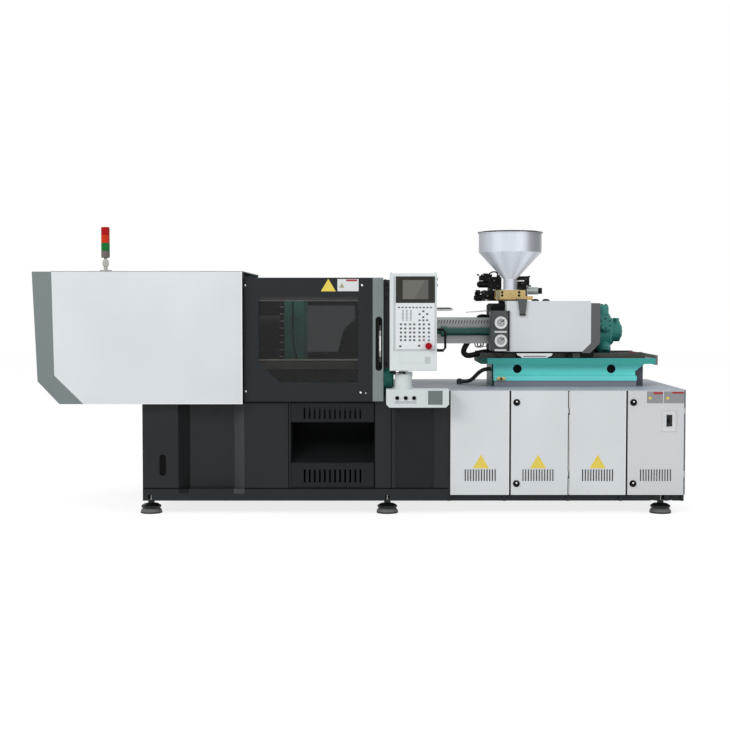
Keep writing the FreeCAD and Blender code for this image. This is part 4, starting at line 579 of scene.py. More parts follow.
# a lighter field across the screen: painted reflection
paintFinish("screenPaintedReflection", tone(104, 105, 97), 0.3, vary=0.06, peel=0.02)
# pure white: the gauge bezels, and painted highlights along the cover's and panels' edges
paintFinish("whiteAndEdgeHighlight", tone(252, 254, 255), 0.35, sheen=0.5)
paintFinish("roofEdgeGrey", tone(176, 178, 176), 0.4, sheen=0.3)
# grey of the top sheet in shade: painted shade under the bed
paintFinish("skirtShadeGrey", tone(132, 138, 150), 0.45, sheen=0.2)
paintFinish("goldShade", tone(146, 142, 112), 0.4, vary=0.15, sheen=0.4)
# near black: painted shade behind the lower part of the gate's window
paintFinish("skirtShadeBlack", tone(10, 15, 14), 0.5, sheen=0.1)
metalFinish("brass", tone(206, 176, 120), 0.35, brushed=(80, 80, 80), metal=0.7)
for name, levels in printTones.items():
    paintFinish(name, tone(*levels))
for name, levels in keyTones.items():
    mouldedFinish(name, tone(*levels), 0.45, 0.1)
print("finishes made:", len(finishes))


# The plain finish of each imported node

nodeFinishes = {
    "levelling_feet": "footRubber", "clamp_base": "baseGrey", "base_panels": "panelGrey",
    "fixed_platen": "paintedShadeGreen", "moving_platen": "platenPaint", "tail_platen": "castPaint",
    "tie_bars": "tieBarDarkReflection", "clamp_cylinder": "castPaint", "clamp_ram": "ramDark",
    "clamp_front_cover": "whiteCover", "clamp_rear_cover": "roofCover", "clamp_end_cover": "greyCover",
    "tower_light_base": "towerGrey", "tower_light_column": "towerLamps", "gate_frames": "frameGrey",
    "front_gate": "gateGrey", "front_gate_window": "windowGlass", "rear_gate": "rearGateGrey",
    "cabinet_frame": "baseGrey", "cabinet_top": "topSheetShaded", "cabinet_fixed_panels": "whiteCover",
    "cabinet_rear_shell": "whiteCover", "cabinet_door_left": "doorLeft", "cabinet_door_right": "doorRight",
    "door_lock_left_low": "blackPlastic", "door_lock_left_high": "blackPlastic",
    "door_lock_right_low": "blackPlastic", "door_lock_right_high": "blackPlastic",
    "main_switch_lever": "blackPlastic", "pump_unit": "castPaint", "electrical_plate": "greyCover",
    "injection_bed": "bedTealLitWeb", "bed_rails": "railSteel", "injection_housing": "housingDark",
    "injection_cover": "whiteCover", "cover_end_trim": "trimGrey", "gauge_panel": "gaugeGrey",
    "pressure_gauges": "gaugeCase", "barrel": "groundSteel", "barrel_guard": "guardSteel",
    "pull_in_cylinders": "glossGreen", "screw": "brightSteel", "hydraulic_motor": "castPaint",
    "hopper": "hopperSteel", "hopper_lid": "lidBlack", "hopper_slide_block": "goldMetal",
    "hopper_base_plate": "spoutPlate", "valve_stack": "valveBlack", "console_box": "paleSheet",
    "console_button_left": "blackPlastic", "console_button_middle": "blackPlastic",
    "console_button_right": "blackPlastic", "panel_pedestal": "paleSheet", "panel_lock_lever": "blackSteel",
    "control_panel": "panelFace", "panel_fascia": "fasciaPrint", "estop_button": "redPlastic",
    "panel_handle": "blackSteel", "feed_hose": "hoseRubber", "conduit_hose": "conduitGrey",
}
for nodeName, finishName in nodeFinishes.items():
    slots = nodes[nodeName].data.materials
    slots.clear()
    slots.append(finishes[finishName])
print("nodes dressed")


# Hoses

feedHose = {
    "route": ((760, -80, 1139), (709, -80, 1071), (733, -80, 1027), (796, -80, 1036), (848, -80, 1057),
              (901, -80, 1057)),
    "diameter": 38, "length": 0.2963,
}
conduitHose = {
    "route": ((905, -60, 936), (868, -60, 936), (832, -48, 914), (806, -22, 884), (786, 14, 858),
              (757, 40, 843), (720, 40, 843)),
    "diameter": 28, "length": 0.2517,
}
addHose("feedHose", "injection_carriage", "hoseRubber", feedHose["route"],
        feedHose["diameter"], length=feedHose["length"], replaces=["feed_hose"])
addHose("conduitHose", "machine_base", "conduitGrey", conduitHose["route"],
        conduitHose["diameter"], length=conduitHose["length"], replaces=["conduit_hose"])
print("hoses laid")


# Front gate

gateTrim = {
    "face": -650,
    "screws": ((-759, 1515, 7.5), (10, 1515, 7.5), (-757, 817, 7.5), (1, 809, 7.5), (34, 805, 4.5)),
    "caution": ((-261, 1475), (-163, 1475), (-212, 1557)),
    "notice": {"x": (-152, -13), "z": (1476, 1556)}, "noticeBand": {"x": (-95, -22), "z": (1541, 1553)},
    "noticeMark": ((-140, 1499), (-106, 1499), (-123, 1531)), "noticeRise": 0.5, "printRise": 0.4,
}


def makeGateTrim():
    face = gateTrim["face"]
    shape = newShape()
    for x, z, radius in gateTrim["screws"]:
        addScrew(shape, x, face, z, radius, radius * 0.5)
    finishPiece(shape, "gateScrews", "front_gate", "bright_steel", "zincPlate")
    shape = newShape()
    addField(shape, gateTrim["caution"], face)
    noticeRise, printRise = gateTrim["noticeRise"], gateTrim["printRise"]
    addField(shape, rectangle(**gateTrim["notice"]), face, noticeRise, 1)
    addField(shape, rectangle(**gateTrim["noticeBand"]), face - noticeRise, printRise, 2)
    addField(shape, gateTrim["noticeMark"], face - noticeRise, printRise, 3)
    finishPiece(shape, "gateFields", "front_gate", "cover_white", "yellowPrint", "palePrint", "redPrint",
                "sandPrint")


makeGateTrim()

# a black sheet just behind the lower part of the gate's window stands in for the shade inside: painted shade
gateShadeSkirt = {
    "sheet": {"x": (-684, -2), "y": (-634, -630), "z": (858, 964)},
    "folds": ((958, 964), (858, 864)), "foldDepth": (-637, -633.5),
}


def makeGateShadeSkirt():
    shape = newShape()
    addBlock(shape, **gateShadeSkirt["sheet"], round=0.8, steps=1)
    for z in gateShadeSkirt["folds"]:
        addBlock(shape, gateShadeSkirt["sheet"]["x"], gateShadeSkirt["foldDepth"], z, round=0.8, steps=1)
    finishPiece(shape, "gateShadeSkirt", "front_gate", "frame_dark", "skirtShadeBlack")


makeGateShadeSkirt()

postLatch = {
    "x": 165, "face": -645.4, "bolts": (1430, 997), "boltRadius": 9, "boltRise": 2.5,
    "plate": {"x": (154, 176), "y": (-648, -644.9), "z": (1504, 1534)},
    "block": {"x": (156, 168), "y": (-648, -644.9), "z": (1543, 1555)},
    "rods": (1549, 1516), "rodEnds": (153, 193), "rodMiddle": 1.4, "rodRadius": 2,
}


def makePostLatch():
    shape = newShape()
    x, face = postLatch["x"], postLatch["face"]
    for z in postLatch["bolts"]:
        addScrew(shape, x, face, z, postLatch["boltRadius"], postLatch["boltRise"])
    addBlock(shape, **postLatch["plate"], round=1)
    y = face - postLatch["rodMiddle"]
    left, right = postLatch["rodEnds"]
    for z in postLatch["rods"]:
        addRod(shape, (left, y, z), (right, y, z), postLatch["rodRadius"], sides=16, round=0.8)
    addBlock(shape, **postLatch["block"], round=1)
    finishPiece(shape, "postLatch", "machine_base", "black_steel", "blackSteel")


makePostLatch()

platenTrim = {
    "rod": {"x": -538, "y": -322, "z": (955, 1402), "radius": 9},
    "clamps": {"inset": 20, "x": (-546, -519), "deep": 9, "high": 8},
    "rings": {"count": 9, "inset": 30, "radius": 15, "half": 3},
    "leadDiameter": 8,
    "lead": ((-461, -329, 1440), (-461, -329, 1330), (-462, -329, 1220), (-460, -329, 1120),
             (-446, -329, 1060), (-434, -329, 1010), (-432, -329, 960)),
}


def makePlatenTrim():
    rod = platenTrim["rod"]
    low, high = rod["z"]
    shape = newShape()
    addRod(shape, (rod["x"], rod["y"], low), (rod["x"], rod["y"], high), rod["radius"], sides=20, round=2)
    clamps = platenTrim["clamps"]
    for z in (low + clamps["inset"], high - clamps["inset"]):
        addBlock(shape, clamps["x"], (rod["y"] - clamps["deep"], rod["y"] + clamps["deep"]),
                 (z - clamps["high"], z + clamps["high"]), round=2)
    rings = platenTrim["rings"]
    pitch = (high - low - 2 * rings["inset"]) / (rings["count"] - 1)
    for ring in range(rings["count"]):
        z = low + rings["inset"] + ring * pitch
        addRod(shape, (rod["x"], rod["y"], z - rings["half"]), (rod["x"], rod["y"], z + rings["half"]),
               rings["radius"], sides=20, round=1.2, finish=1)
    finishPiece(shape, "ejectorGuide", "clamp_platen", "dark_steel", "blackSteel", "scaleSilver")


makePlatenTrim()
addHose("platenLead", "clamp_platen", "hoseRubber", platenTrim["lead"],
        platenTrim["leadDiameter"])
print("gate and platen trimmed")


# Clamp base and covers

coverEdge = {
    "face": -690,
    # the white strips along the cover's right and lower edges are painted highlights
    "right": {"x": (-781, -775), "z": (736, 1602)}, "low": {"x": (-1440, -781), "z": (736, 740)},
    # a black strip at the cover's right edge stands in for the shade in the gap beside the gate: painted
    # shade
    "gapShadeStrip": {"x": (-776, -769.5), "y": (-688, -656), "z": (738, 1602)},
    "roofEdge": {"x": (-772, -766), "y": (-689, 688), "z": (1600.5, 1606.5)}, "baseFace": -620,
    # dark lines on the base: the one under the gate and the two over the rail are painted shade in the gaps;
    # the upright ones are seams between panels
    "seams": ({"x": (-775, 93), "z": (736, 744.5)}, {"x": (-1445, -1210), "z": (165.5, 174)},
              {"x": (-770, 576), "z": (165.5, 174)}, {"x": (-480, -473), "z": (174, 736)},
              {"x": (91, 97), "z": (174, 736)}, {"x": (199, 206), "z": (174, 744)}),
}
handHole = {"x": -1313, "face": -620, "z": 325, "width": 43, "height": 142, "rim": 5, "plate": (-612, -608)}
accessScrews = {
    "face": -619, "places": ((246, 190), (472, 190), (246, 681), (472, 681)), "radius": 5, "rise": 3,
}


def makeBaseTrim():
    shape = newShape()
    # painted highlights along the cover's right and lower edges
    for side in ("right", "low"):
        addField(shape, rectangle(**coverEdge[side]), coverEdge["face"], 0.8)
    finishPiece(shape, "coverEdge", "machine_base", "cover_white", "whiteAndEdgeHighlight")
    shape = newShape()
    # painted shade in the gap by the cover, dark lines on the base, and the roof's edge strip
    addBlock(shape, **coverEdge["gapShadeStrip"], round=0.6, steps=1)
    for seam in coverEdge["seams"]:
        addField(shape, rectangle(**seam), coverEdge["baseFace"])
    addBlock(shape, **coverEdge["roofEdge"], round=1, steps=1, finish=1)
    finishPiece(shape, "coverGapShadeAndSeams", "machine_base", "rubber", "blackPlastic", "roofEdgeGrey")
    shape = newShape()
    x, z, rim = handHole["x"], handHole["z"], handHole["rim"]
    width, height = handHole["width"], handHole["height"]
    outline = obroundOutline(x, handHole["face"] + 0.3, z, width + 2 * rim, height + 2 * rim)
    addFrame(shape, outline, (0, -1.5, 0), rim)
    front, back = handHole["plate"]
    outline = obroundOutline(x, back, z, width - 0.6, height - 0.6)
    addPlate(shape, outline, (0, front - back, 0), round=0.5, steps=1, finish=1)
    finishPiece(shape, "handHoleRim", "machine_base", "base_grey", "rimLight", "blackPlastic")
    shape = newShape()
    for x, z in accessScrews["places"]:
        addScrew(shape, x, accessScrews["face"], z, accessScrews["radius"], accessScrews["rise"])
    finishPiece(shape, "accessScrews", "machine_base", "black_steel", "blackSteel")


makeBaseTrim()


# Cabinet

cabinetFace = -630
cabinetFields = {
    "places": {"machine_base": (797, 1570), "left_door": (1175,)}, "base": 305, "width": 107, "height": 92,
    # the white strips down the panels' right edges are painted highlights
    "edges": {"machine_base": (983, 1755), "left_door": (1382,)},
    "edge": (-4.5, -0.5), "highlightHeight": (132, 815),
}
doorPlates = {
    "rise": 0.8,
    "grey": ({"x": (1892, 1998), "z": (737, 815)}, {"x": (2004, 2137), "z": (737, 815)}),
    "red": ({"x": (1936, 1997), "z": (796, 811)}, {"x": (2058, 2134), "z": (800, 813)}),
    "yellow": ({"x": (1904, 1921), "z": (762, 779)}, {"x": (2020, 2038), "z": (762, 779)}),
}
switchLine = {"x": (1998.5, 2092.5), "z": (547, 686), "width": 2.5, "rise": 1}
# each lock: a black ring round it, and a bright dome above its middle that stands for its highlight: painted
# highlight
lockRingsAndHighlights = {
    "left_door": {"lock_left_low": (1032, 203), "lock_left_high": (1032, 742)},
    "right_door": {"lock_right_low": (1804, 203), "lock_right_high": (1804, 742)},
    "inner": 18.6, "outer": 23, "knobFace": -642, "above": 5, "radius": 6, "rise": 1.6,
}
ventFrames = {
    "bodies": {"machine_base": (689.5, 1467), "left_door": (1077.5,), "right_door": (1855.2,)},
    "count": 12, "pitch": 18, "width": 7, "z": 259, "height": 78, "rim": 1.3, "rise": 0.5,
}
topScrews = {"x": (640, 910, 1180, 1450, 1720, 1975, 2060), "y": -540, "top": 825, "radius": 5, "rise": 2.5}


def makeCabinetFields():
    half = cabinetFields["width"] / 2
    base = cabinetFields["base"]
    top = base + cabinetFields["height"]
    near, far = cabinetFields["edge"]
    for body, places in cabinetFields["places"].items():
        shape = newShape()
        for x in places:
            addField(shape, ((x - half, base), (x + half, base), (x, top)), cabinetFace)
        # painted highlights down the panels' right edges
        for x in cabinetFields["edges"][body]:
            edge = rectangle((x + near, x + far), cabinetFields["highlightHeight"])
            addField(shape, edge, cabinetFace, finish=1)
        finishPiece(shape, "cabinetFields_" + body, body, "cover_white", "yellowPrint", "whiteAndEdgeHighlight")


def makeDoorTrim():
    rise = doorPlates["rise"]
    shape = newShape()
    for place in doorPlates["grey"]:
        addField(shape, rectangle(**place), cabinetFace, rise)
    for finish, colour in enumerate(("red", "yellow"), 1):
        for place in doorPlates[colour]:
            addField(shape, rectangle(**place), cabinetFace - rise, 0.3, finish)
    finishPiece(shape, "doorPlates", "right_door", "cover_grey", "greyPrint", "redPrint", "yellowPrint")
    shape = newShape()
    addFrame(shape, frontOutline(rectangle(switchLine["x"], switchLine["z"]), cabinetFace + 0.2),
             (0, -switchLine["rise"], 0), switchLine["width"])
    finishPiece(shape, "switchLine", "right_door", "cover_grey", "rimGrey")
    inner, outer = lockRingsAndHighlights["inner"], lockRingsAndHighlights["outer"]
    ring = [(inner, 1.4), (outer - 0.6, 1.4), (outer, 0.8), (outer, -0.3), (inner, -0.3), (inner, 1.4)]
    for body in ("left_door", "right_door"):
        shape = newShape()
        for x, z in lockRingsAndHighlights[body].values():
            addTurned(shape, ring, (x, cabinetFace, z), (0, -1, 0))
        finishPiece(shape, "lockRings_" + body, body, "black_plastic", "blackPlastic")
    y, z, rim = cabinetFace + 0.1, ventFrames["z"], ventFrames["rim"]
    width, height = ventFrames["width"], ventFrames["height"]
    for body, lefts in ventFrames["bodies"].items():
        shape = newShape()
        for left in lefts:
            for slot in range(ventFrames["count"]):
                x = left + slot * ventFrames["pitch"] + width / 2
                outline = obroundOutline(x, y, z, width + 2 * rim, height + 2 * rim, 4)
                addFrame(shape, outline, (0, -ventFrames["rise"], 0), rim)
        finishPiece(shape, "ventFrames_" + body, body, "black_plastic", "blackPlastic")
    # a bright dome above each lock's middle: painted highlight
    for lock, (x, z) in (*lockRingsAndHighlights["left_door"].items(), *lockRingsAndHighlights["right_door"].items()):
        shape = newShape()
        addScrew(shape, x, lockRingsAndHighlights["knobFace"], z + lockRingsAndHighlights["above"], lockRingsAndHighlights["radius"],
                 lockRingsAndHighlights["rise"])
        finishPiece(shape, "lockHighlight_" + lock, lock, "bright_steel", "zincPlate")
    shape = newShape()
    for x in topScrews["x"]:
        addScrew(shape, x, topScrews["y"], topScrews["top"], topScrews["radius"], topScrews["rise"],
                 axis=(0, 0, 1))
    finishPiece(shape, "topScrews", "machine_base", "bright_steel", "zincPlate")


makeCabinetFields()
makeDoorTrim()
print("cabinet trimmed")


# Console

consoleTrim = {
    "face": -750, "plate": {"x": (440, 535), "z": (736, 827)}, "strip": {"x": (222, 364), "z": (742, 759)},
    "seam": {"x": (426, 428), "z": (744, 834)},
}


def makeConsoleTrim():
    face = consoleTrim["face"]
    shape = newShape()
    addField(shape, rectangle(**consoleTrim["plate"]), face, 1.2)
    for line in ("strip", "seam"):
        addField(shape, rectangle(**consoleTrim[line]), face, 0.4, 1)
    finishPiece(shape, "consolePlates", "machine_base", "cover_grey", "platePrint", "linePrint")


makeConsoleTrim()


# Operator panel

keyPad = {
    "face": -793, "width": 14.5, "height": 13.5,
    "top": {"left": 249, "pitch": 23, "count": 10, "z": 1370, "height": 9},
    "lamps": {"x": (274.4, 299, 325.5), "z": (1288, 1350), "count": 8, "width": 11, "height": 5},
    "arrowSize": (12, 11), "lowSize": (15, 11),
    "arrows": ((406.4, 1345.6), (381.8, 1326.8), (431, 1326.8), (406.4, 1307.3)),
    "row": {"x": (381.8, 406.4, 431), "z": 1287, "height": 11},
    "grid": {"x": (261.4, 289.3, 321, 347.5, 381.8, 409.7, 442.7),
             "z": (1260.6, 1234, 1208.1, 1181.5, 1158.2)},
    "low": ((257.5, 1118.7), (379.9, 1121.9)),
    "coloured": {(5, 4): 2, (6, 3): 3, (6, 4): 3, (4, 4): 4},  # finish by column and row; the rest are grey
}
panelTrim = {
    "face": -790, "bezel": 3,
    "bandLeft": {"x": (212, 226.6), "z": (1086, 1573)}, "bandRight": {"x": (478, 485), "z": (1089, 1397)},
    "bandLow": {"x": (228, 485), "z": (1089, 1101)}, "plate": {"x": (417, 453), "z": (1006, 1051)},
    "lines": ({"x": (254, 255.5), "z": (1009, 1085)}, {"x": (255.5, 414), "z": (1009, 1010.5)}),
    "ears": ({"x": (194, 206), "y": (-786, -760), "z": (1590, 1596)},
             {"x": (478, 490), "y": (-786, -760), "z": (1590, 1596)}),
}
# the screen glass, with a lighter field across its left part as a painted reflection
screenGlass = {
    "x": (272, 439), "y": (-794.6, -793), "z": (1423, 1548),
    "sheen": ((273, 1424), (348, 1424), (416, 1547), (273, 1547)),
}


def addKey(shape, x, z, width, height, finish, mark=5):
    # a key with a dark mark on it, or a bare one where mark is None
    face = keyPad["face"]
    addBlock(shape, (x - width / 2, x + width / 2), (face - 1.2, face + 0.3),
             (z - height / 2, z + height / 2), round=0.5, steps=1, finish=finish)
    if mark is not None:
        addBlock(shape, (x - width * 0.32, x + width * 0.32), (face - 1.5, face - 1.1),
                 (z - height * 0.28, z + height * 0.28), round=0.1, steps=1, finish=mark)


def makeKeyPad():
    shape = newShape()
    width = keyPad["width"]
    top = keyPad["top"]
    for step in range(top["count"]):
        addKey(shape, top["left"] + step * top["pitch"], top["z"], width, top["height"], 0)
    lamps = keyPad["lamps"]
    pitch = (lamps["z"][1] - lamps["z"][0]) / (lamps["count"] - 1)
    for x in lamps["x"]:
        for step in range(lamps["count"]):
            addKey(shape, x, lamps["z"][0] + step * pitch, lamps["width"], lamps["height"], 0, None)
    for x, z in keyPad["arrows"]:
        addKey(shape, x, z, *keyPad["arrowSize"], 1, None)
    for x in keyPad["row"]["x"]:
        addKey(shape, x, keyPad["row"]["z"], width, keyPad["row"]["height"], 0)
    for column, x in enumerate(keyPad["grid"]["x"]):
        for row, z in enumerate(keyPad["grid"]["z"]):
            addKey(shape, x, z, width, keyPad["height"], keyPad["coloured"].get((column, row), 0))
    for x, z in keyPad["low"]:
        addKey(shape, x, z, *keyPad["lowSize"], 1)
    finishPiece(shape, "keyPad", "operator_panel", "cover_grey", "keyGrey", "keyDark", "keyPink", "keyBlue",
                "keyGreen", "keyDark")


def makePanelTrim():
    face = panelTrim["face"]
    bezelFace = face - panelTrim["bezel"]
    shape = newShape()
    addField(shape, rectangle(**panelTrim["bandLeft"]), face, 0.5)
    addField(shape, rectangle(**panelTrim["bandRight"]), bezelFace, 0.4)
    addField(shape, rectangle(**panelTrim["bandLow"]), bezelFace, 0.5)
    addField(shape, rectangle(**panelTrim["plate"]), face, 0.8)
    for line in panelTrim["lines"]:
        addField(shape, rectangle(**line), face, 0.3)
    for ear in panelTrim["ears"]:
        addBlock(shape, **ear, round=2)
    finishPiece(shape, "panelTrim", "operator_panel", "cover_grey", "bandGrey")
    shape = newShape()
    addBlock(shape, screenGlass["x"], screenGlass["y"], screenGlass["z"], round=0.5, steps=1)
    addField(shape, screenGlass["sheen"], screenGlass["y"][0], 0.3, 1)
    finishPiece(shape, "screenGlass", "operator_panel", "window_glass", "screenGlass", "screenPaintedReflection")


handleSleeve = {
    "y": -755, "radius": 7.6, "x": (497, 542), "z": (1089, 1227), "bar": 550.8, "grip": (1103, 1213),
}


def makeHandleSleeve():
    shape = newShape()
    y, radius, bar = handleSleeve["y"], handleSleeve["radius"], handleSleeve["bar"]
    near, far = handleSleeve["x"]
    low, high = handleSleeve["grip"]
    for z in handleSleeve["z"]:
        addRod(shape, (near, y, z), (far, y, z), radius, sides=20, round=1)
    addRod(shape, (bar, y, low), (bar, y, high), radius, sides=20, round=1)
    finishPiece(shape, "handleSleeve", "operator_panel", "rubber", "blackPlastic")


makeKeyPad()
makePanelTrim()
makeHandleSleeve()
print("operator panel dressed")


# Pressure gauges

gaugeFaces = {
    "x": 954, "heights": (1141, 1264), "floor": -335, "radius": 37, "rim": 29.5, "line": (17.5, 19.5),
    "ticks": 25, "sweep": 270, "tickReach": 28, "longTick": 7, "shortTick": 4,
    "needle": {"angle": 45, "aside": 8, "width": 5.2, "length": 40},
    "panelFace": -315, "edge": {"x": (1005, 1015), "z": (1072, 1343)},
    "plates": ({"x": (914, 994), "z": (1070, 1083)}, {"x": (913, 995), "z": (1195, 1208)}),
    "screws": ((893, 1082), (893, 1333), (998, 1082), (998, 1333)), "screwRadius": 4, "screwRise": 2.4,
}


def makeGaugeFaces():
    shape = newShape()
    middle, floor, radius = gaugeFaces["x"], gaugeFaces["floor"], gaugeFaces["radius"]
    sweep, last = gaugeFaces["sweep"], gaugeFaces["ticks"] - 1
    needle = gaugeFaces["needle"]
    half, reach = needle["width"] / 2, needle["length"] / 2
    for height in gaugeFaces["heights"]:
        place, outwards = (middle, floor, height), (0, -1, 0)
        addTurned(shape, [(0, 0.9), (radius - 0.4, 0.9), (radius, 0.4), (radius, -0.2), (0, -0.2)], place,
                  outwards, sides=48, finish=2)
        addTurned(shape, ringProfile(gaugeFaces["rim"], radius - 0.3, 0.6, 1.8), place, outwards, sides=48)
        addTurned(shape, ringProfile(*gaugeFaces["line"], 0.7, 1.3), place, outwards, finish=3)
        for tick in range(gaugeFaces["ticks"]):
            angle = math.radians(-sweep / 2 + tick * sweep / last)
            long = gaugeFaces["shortTick"] if tick % 4 else gaugeFaces["longTick"]
            out = gaugeFaces["tickReach"] - long / 2
            x, z = middle + out * math.sin(angle), height + out * math.cos(angle)
            addBlock(shape, (x - 0.7, x + 0.7), (floor - 1.3, floor - 0.7), (z - long / 2, z + long / 2),
                     round=0.15, steps=1, finish=3, turn=Matrix.Rotation(angle, 4, "Y"))
        x, z = middle + needle["aside"], height + needle["aside"]
        addBlock(shape, (x - half, x + half), (floor - 3.8, floor - 2.6), (z - reach, z + reach), round=0.4,
                 steps=1, finish=1, turn=Matrix.Rotation(math.radians(needle["angle"]), 4, "Y"))
    finishPiece(shape, "gaugeFaces", "injection_carriage", "cover_white", "whiteAndEdgeHighlight", "blackSteel",
                "dialGrey", "rimGrey")
    shape = newShape()
    face = gaugeFaces["panelFace"]
    for plate in gaugeFaces["plates"]:
        addField(shape, rectangle(**plate), face, 0.8)
    addField(shape, rectangle(**gaugeFaces["edge"]), face, 1.5, 1)
    for x, z in gaugeFaces["screws"]:
        addScrew(shape, x, face, z, gaugeFaces["screwRadius"], gaugeFaces["screwRise"], finish=1)
    finishPiece(shape, "gaugePlates", "injection_carriage", "cover_white", "palePrint", "blackSteel")


makeGaugeFaces()


# Injection unit

unitTrim = {
    "domes": (1216, 1290), "domeY": -100, "domeRadius": 27, "domeRise": 15, "coverTop": 1412,
    "scale": ((1064, 1054), (1312, 1054), (1304, 1036), (1284, 1030), (1274, 1023), (1102, 1023),
              (1092, 1033), (1072, 1040)),
    "scaleSlot": {"x": (1112, 1266), "z": (1031, 1037)}, "scaleRise": 3, "shoeFace": -297,
    "probe": ((736, -20, 1333), (912, -20, 1345)), "probeRadius": 3.5,
    "collar": {"x": 856, "y": (-92, -40), "z": 1296, "radius": 46, "rise": 24, "steps": 12},
}
guardLiner = {"x": (446, 896), "y": (-4, 4), "z": (1254, 1291)}


def makeUnitTrim():
    shape = newShape()
    radius, rise = unitTrim["domeRadius"], unitTrim["domeRise"]
    for x in unitTrim["domes"]:
        addTurned(shape, [(0, rise), (radius * 0.6, rise * 0.85), (radius * 0.9, rise * 0.5), (radius, 0.5),
                          (radius, -0.4), (0, -0.4)], (x, unitTrim["domeY"], unitTrim["coverTop"]), (0, 0, 1),
                  sides=28)
    collar = unitTrim["collar"]
    outline = []
    for step in range(collar["steps"] + 1):
        angle = math.pi * step / collar["steps"]
        outline.append((collar["x"] + collar["radius"] * math.cos(angle), collar["y"][1],
                        collar["z"] + collar["rise"] * math.sin(angle)))
    addPlate(shape, outline, (0, collar["y"][0] - collar["y"][1], 0), round=2)
    finishPiece(shape, "coverPlugs", "injection_carriage", "black_plastic", "blackPlastic")
    shape = newShape()
    face, rise = unitTrim["shoeFace"], unitTrim["scaleRise"]
    addPlate(shape, frontOutline(unitTrim["scale"], face + 0.3), (0, -rise - 0.3, 0), round=0.8)
    addField(shape, rectangle(**unitTrim["scaleSlot"]), face - rise, 0.4, 1)
    finishPiece(shape, "scaleBar", "injection_carriage", "bright_steel", "scaleSilver", "inkPrint")
    shape = newShape()
    addRod(shape, *unitTrim["probe"], unitTrim["probeRadius"], sides=14, round=1)
    finishPiece(shape, "heatProbe", "injection_carriage", "bright_steel", "zincPlate")
    shape = newShape()
    addBlock(shape, **guardLiner, round=1, steps=1)
    finishPiece(shape, "guardLiner", "injection_carriage", "black_steel", "blackSteel")


makeUnitTrim()

motorTrim = {
    "middle": (1695, 0, 1200), "lobes": 5, "reach": 185,
    "bolts": 6, "boltCircle": 34, "boltRadius": 6, "rise": 6,
    "end": 1832, "endBolts": 6, "endCircle": 32, "endRadius": 5, "endRise": 5,
}


def makeMotorTrim():
    shape = newShape()
    x, y, z = motorTrim["middle"]
    for lobe in range(motorTrim["lobes"]):
        turn = Matrix.Rotation(math.tau * lobe / motorTrim["lobes"], 3, "X")
        out = turn @ Vector((0, 0, 1))
        for bolt in range(motorTrim["bolts"]):
            angle = math.tau * (bolt + 0.5) / motorTrim["bolts"]
            side = turn @ Vector((math.cos(angle), math.sin(angle), 0)) * motorTrim["boltCircle"]
            place = Vector((x, y, z)) + out * motorTrim["reach"] + side
            addRod(shape, tuple(place - out * 0.4), tuple(place + out * motorTrim["rise"]),
                   motorTrim["boltRadius"], sides=6, round=0.8)
    for bolt in range(motorTrim["endBolts"]):
        angle = math.tau * bolt / motorTrim["endBolts"]
        place = (motorTrim["end"] - 0.4, y + motorTrim["endCircle"] * math.cos(angle),
                 z + motorTrim["endCircle"] * math.sin(angle))
        addRod(shape, place, (place[0] + motorTrim["endRise"], *place[1:]), motorTrim["endRadius"], sides=6,
               round=0.8)
    # the bolts take the cast green's painted-shade copy
    finishPiece(shape, "motorBolts", "screw_drive", "dark_steel", "paintedShadeGreen")


makeMotorTrim()

platenBar = {
    "y": (142, 158), "outline": ((200, 1341), (640, 1341), (668, 1350.5), (626, 1366), (200, 1366)),
    "strip": ((200, 1353.5), (654, 1353.5), (642, 1365), (200, 1365)), "stripRise": 1.5,
}


def makePlatenBar():
    shape = newShape()
    front, back = platenBar["y"]
    thickness = back - front
    addPlate(shape, frontOutline(platenBar["outline"], back), (0, -thickness, 0), round=1.5)
    addPlate(shape, frontOutline(platenBar["strip"], back), (0, -thickness - platenBar["stripRise"], 0),
             round=0.8, steps=1, finish=1)
    finishPiece(shape, "platenBar", "machine_base", "ground_steel", "scaleSilver", "trimGrey")


makePlatenBar()

slideScrews = {
    "x": (987, 1105), "z": (1450, 1472), "floor": -70, "radius": 5.7, "sinkRadius": 9, "face": -78,
    "dot": (1046, 1461), "end": {"x": (948.5, 972), "z": (1428, 1486)},
}


def makeSlideScrews():
    shape = newShape()
    radius, floor, face = slideScrews["radius"], slideScrews["floor"], slideScrews["face"]
    socketHead = [(0, 1.5), (2.6, 1.5), (2.8, 5), (radius, 5), (radius, -0.3), (0, -0.3)]
    sinkRing = ringProfile(radius + 0.3, slideScrews["sinkRadius"], -0.2, 0.5)
    for x in slideScrews["x"]:
        for z in slideScrews["z"]:
            addTurned(shape, socketHead, (x, floor, z), (0, -1, 0), sides=20)
            addTurned(shape, sinkRing, (x, face, z), (0, -1, 0), sides=20)
    addField(shape, rectangle(**slideScrews["end"]), face, 0.8, 1)
    x, z = slideScrews["dot"]
    addScrew(shape, x, face, z, 3, 1)
    finishPiece(shape, "slideScrews", "hopper_unit", "black_steel", "blackSteel", "goldShade")


makeSlideScrews()

